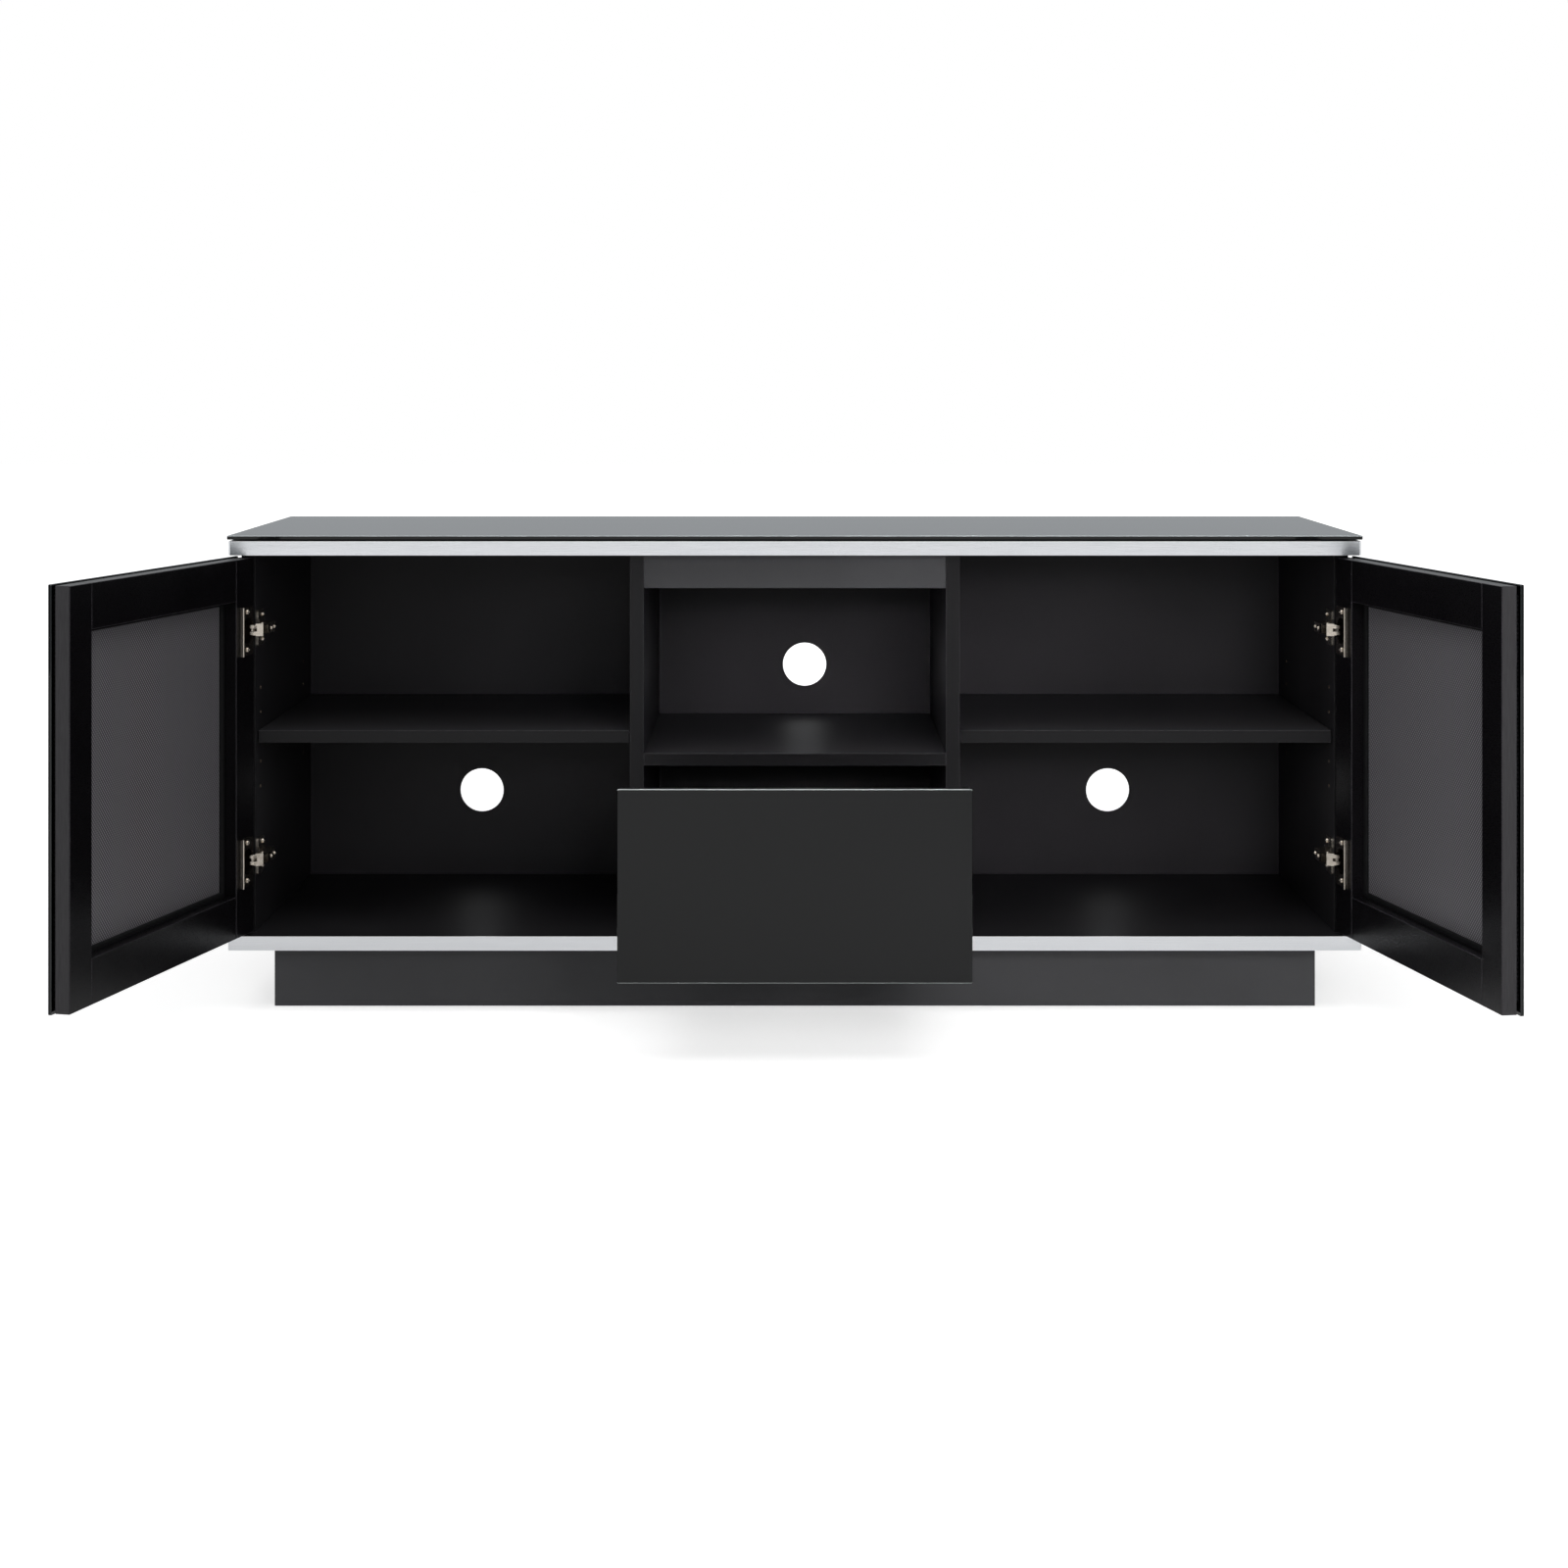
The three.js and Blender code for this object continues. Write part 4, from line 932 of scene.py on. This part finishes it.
class CABINET_OT_hole_walls(bpy.types.Operator):
    """Lines the shelf-support holes with the bare board that drilling shows"""
    bl_idname = "cabinet.hole_walls"
    bl_label = "Shelf Hole Walls"

    RADIUS, DEPTH, PITCH = 0.00247, 0.0105, 0.032
    ROWS = (0.065, 0.395)
    MIDDLE = 0.346
    # The room between a shelf's end and the board, and how far a wall stands off its hole.
    SHELF_GAP, STAND_OFF = 0.0015, 0.0001

    def execute(self, context):
        sizes = context.scene.cabinet_sizes
        deselect_all()
        bpy.ops.mesh.primitive_cylinder_add(
            vertices=16, radius=self.RADIUS, depth=self.DEPTH, end_fill_type="NOTHING",
            location=(0, 0, -self.DEPTH / 2))
        wall = bpy.context.object
        bpy.ops.object.transform_apply(location=True, rotation=False, scale=False)
        bpy.ops.object.modifier_add(type="SOLIDIFY")
        wall.modifiers[-1].thickness = sizes.hole_wall
        wall.modifiers[-1].offset = -1
        bpy.ops.object.modifier_apply(modifier=wall.modifiers[-1].name)
        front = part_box("top_trim")[0].y
        for side, sign in SIDES:
            outer = abs(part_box(f"{side}_shelf")[0 if sign < 0 else 1].x)
            inner = abs(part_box(f"{side}_shelf")[1 if sign < 0 else 0].x)
            for part, x, inward in ((f"{side}_side", outer + self.SHELF_GAP, -sign),
                                    (f"{side}_divider", inner - self.SHELF_GAP, sign)):
                walls = [
                    copy_of(wall, facing((sign * x - inward * self.STAND_OFF, front + row,
                                          self.MIDDLE + step * self.PITCH), (inward, 0, 0)))
                    for row in self.ROWS for step in (-2, -1, 1, 2)]
                settle(join_all(walls), f"{part}_hole_walls", "case", "black_board",
                       finish="bare_board")
        remove(wall)
        return {"FINISHED"}


class CABINET_OT_ball_races(bpy.types.Operator):
    """Fits the drawer slides with their ball races, two to a slide"""
    bl_idname = "cabinet.ball_races"
    bl_label = "Slide Ball Races"

    # Each race: distance of its rows above the slide's middle, where its rows lie between
    # the side and the drawer, and where it starts behind the middle member's front end.
    RACES = (("outer", 0.0205, 0.188, 0.2065), ("inner", 0.0175, 0.1855, 0.0115))
    COUNT = 9

    def execute(self, context):
        sizes = context.scene.cabinet_sizes
        for side, sign in SIDES:
            low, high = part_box(f"{side}_slide_middle_member")
            middle = (low.z + high.z) / 2
            for race, rise, out, start in self.RACES:
                rows = []
                for up in (-1, 1):
                    row = Vector((sign * out, low.y + start, middle + up * rise))
                    rows.append(self.cage(row, sizes))
                    rows += [self.ball(row + Vector((0, index * sizes.ball_pitch, 0)), sizes)
                             for index in range(self.COUNT)]
                settle(join_all(rows), f"{side}_slide_{race}_race", f"{side}_slide_middle",
                       "zinc_steel", smooth=60)
        return {"FINISHED"}

    def cage(self, row, sizes):
        """A thin strip with rounded ends that holds a row of balls apart."""
        half_width, half_thick, end = 0.0018, 0.00025, 0.008
        run = (self.COUNT - 1) * sizes.ball_pitch
        strip = add_box(row - Vector((half_width, end, half_thick)),
                        row + Vector((half_width, run + end, half_thick)))
        round_edges(lambda edge: along(edge, 2), half_width * 0.8, 3)
        return strip

    def ball(self, place, sizes):
        deselect_all()
        bpy.ops.mesh.primitive_ico_sphere_add(
            subdivisions=2, radius=sizes.ball / 2, location=place)
        return bpy.context.object


class CABINET_OT_studio(bpy.types.Operator):
    """Sets up the floor, the surroundings, the lamps and the camera"""
    bl_idname = "cabinet.studio"
    bl_label = "Studio"

    def execute(self, context):
        settings = context.scene.studio_settings
        self.floor(settings)
        self.world(context)
        self.lamps()
        self.camera(context, settings)
        context.scene.view_settings.view_transform = "Standard"
        return {"FINISHED"}

    def floor(self, settings):
        deselect_all()
        bpy.ops.mesh.primitive_plane_add(size=40, location=(0, 0, -0.0005))
        floor = bpy.context.object
        floor.name = "studio_floor"
        material = bpy.data.materials.new("studio_floor_paint")
        tree = bare_tree(material)
        path = add_node(tree, "ShaderNodeLightPath")
        place = add_node(tree, "ShaderNodeTexCoord").outputs["Object"]
        away = add_node(tree, "ShaderNodeVectorMath", {0: place}, operation="LENGTH").outputs["Value"]
        rise = add_node(tree, "ShaderNodeMapRange", {
            "Value": away, "From Min": 1.0, "From Max": 4.0, "To Min": 0.6, "To Max": 1.0})
        paint = add_node(tree, "ShaderNodeBsdfDiffuse", {"Color": (*settings.floor, 1)})
        glow = add_node(tree, "ShaderNodeEmission", {"Color": (1, 1, 1, 1), "Strength": rise})
        lifted = add_node(tree, "ShaderNodeAddShader", {0: paint, 1: glow})
        tens = add_node(tree, "ShaderNodeMath", {0: away, 1: 10.0}, operation="DIVIDE")
        gleam = add_node(tree, "ShaderNodeValToRGB", {"Fac": tens}, [
            (stop, (grey, grey, grey, 1)) for stop, grey in ((0.1, 0.15), (0.4, 0.66), (0.9, 0.84))])
        mirrored = add_node(tree, "ShaderNodeEmission", {"Color": gleam, "Strength": 1.0})
        polished = add_node(tree, "ShaderNodeAddShader", {0: paint, 1: mirrored})
        sharp = add_node(tree, "ShaderNodeMixShader", {
            0: path.outputs["Is Glossy Ray"], 1: paint, 2: polished})
        mix = add_node(tree, "ShaderNodeMixShader", {0: seen_directly(tree, path), 1: sharp, 2: lifted})
        add_node(tree, "ShaderNodeOutputMaterial", {"Surface": mix})
        floor.data.materials.append(material)

    def world(self, context):
        context.scene.world = bpy.data.worlds.new("studio_surroundings")
        tree = bare_tree(context.scene.world)
        path = add_node(tree, "ShaderNodeLightPath")
        direction = add_node(tree, "ShaderNodeTexCoord").outputs["Generated"]
        height = add_node(tree, "ShaderNodeSeparateXYZ", {"Vector": direction}).outputs["Z"]
        room = add_node(tree, "ShaderNodeValToRGB", {"Fac": height},
                        [(0.08, "#a9adb0"), (0.4, "#f2f4f6")])
        ambient = add_node(tree, "ShaderNodeBackground", {"Color": (1, 1, 1, 1), "Strength": 0.32})
        walls = add_node(tree, "ShaderNodeBackground", {"Color": room, "Strength": 1.0})
        white = add_node(tree, "ShaderNodeBackground", {"Color": (1, 1, 1, 1), "Strength": 1.0})
        mirrored = add_node(tree, "ShaderNodeMixShader", {
            0: path.outputs["Is Glossy Ray"], 1: ambient, 2: walls})
        mix = add_node(tree, "ShaderNodeMixShader",
                       {0: seen_directly(tree, path), 1: mirrored, 2: white})
        add_node(tree, "ShaderNodeOutputWorld", {"Surface": mix})

    def lamps(self):
        for name, place, aim, size, power, spread in (
            ("lamp_overhead", (0.0, -1.5, 2.7), (0, -0.9, 0), (3.4, 2.0), 38, 180),
            ("lamp_front", (0.8, -3.3, 1.2), (0.5, 0, 0.35), (0.8, 1.0), 4.4, 50),
            ("lamp_niche", (0.1, -3.4, 1.0), (0.1, 0, 0.42), (0.3, 0.3), 0.42, 18),
            ("lamp_left", (-2.6, -2.2, 0.9), (-0.2, -0.3, 0.3), (1.0, 1.0), 10, 120),
            ("lamp_right", (2.6, -2.2, 0.9), (0.2, -0.3, 0.3), (1.0, 1.0), 4, 120),
        ):
            light = bpy.data.lights.new(name, "AREA")
            light.shape = "RECTANGLE"
            light.size, light.size_y = size
            light.energy = power
            light.spread = math.radians(spread)
            lamp = bpy.data.objects.new(name, light)
            bpy.context.scene.collection.objects.link(lamp)
            lamp.location = place
            turn = (Vector(aim) - Vector(place)).to_track_quat("-Z", "Y")
            lamp.rotation_euler = turn.to_euler()
            lamp.visible_glossy = name == "lamp_overhead"

    def camera(self, context, settings):
        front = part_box("top_trim")[0].y
        data = bpy.data.cameras.new("camera")
        data.sensor_width = 36
        data.lens = settings.lens
        data.shift_x, data.shift_y = settings.shift
        camera = bpy.data.objects.new("camera", data)
        context.scene.collection.objects.link(camera)
        camera.location = (0, front - settings.distance, settings.height)
        camera.rotation_euler = (math.radians(90), 0, 0)
        context.scene.camera = camera


class CABINET_PT_panel(bpy.types.Panel):
    """Lists the cabinet's operators"""
    bl_idname = "CABINET_PT_panel"
    bl_label = "Media Cabinet"
    bl_space_type = "VIEW_3D"
    bl_region_type = "UI"
    bl_category = "Cabinet"

    def draw(self, context):
        for operator in OPERATORS:
            self.layout.operator(operator.bl_idname)


OPERATORS = (
    CABINET_OT_studio,
    CABINET_OT_finishes,
    CABINET_OT_glass,
    CABINET_OT_door_trim,
    CABINET_OT_hinge_screws,
    CABINET_OT_outer_links,
    CABINET_OT_hole_walls,
    CABINET_OT_ball_races,
)
CLASSES = (CabinetSizes, StudioSettings, *OPERATORS, CABINET_PT_panel)


def register():
    for item in CLASSES:
        bpy.utils.register_class(item)
    bpy.types.Scene.cabinet_sizes = bpy.props.PointerProperty(type=CabinetSizes)
    bpy.types.Scene.studio_settings = bpy.props.PointerProperty(type=StudioSettings)


def unregister():
    del bpy.types.Scene.studio_settings
    del bpy.types.Scene.cabinet_sizes
    for item in reversed(CLASSES):
        bpy.utils.unregister_class(item)


def main():
    register()
    for operator in OPERATORS:
        group, name = operator.bl_idname.split(".")
        getattr(getattr(bpy.ops, group), name)()


if __name__ == "__main__":
    main()
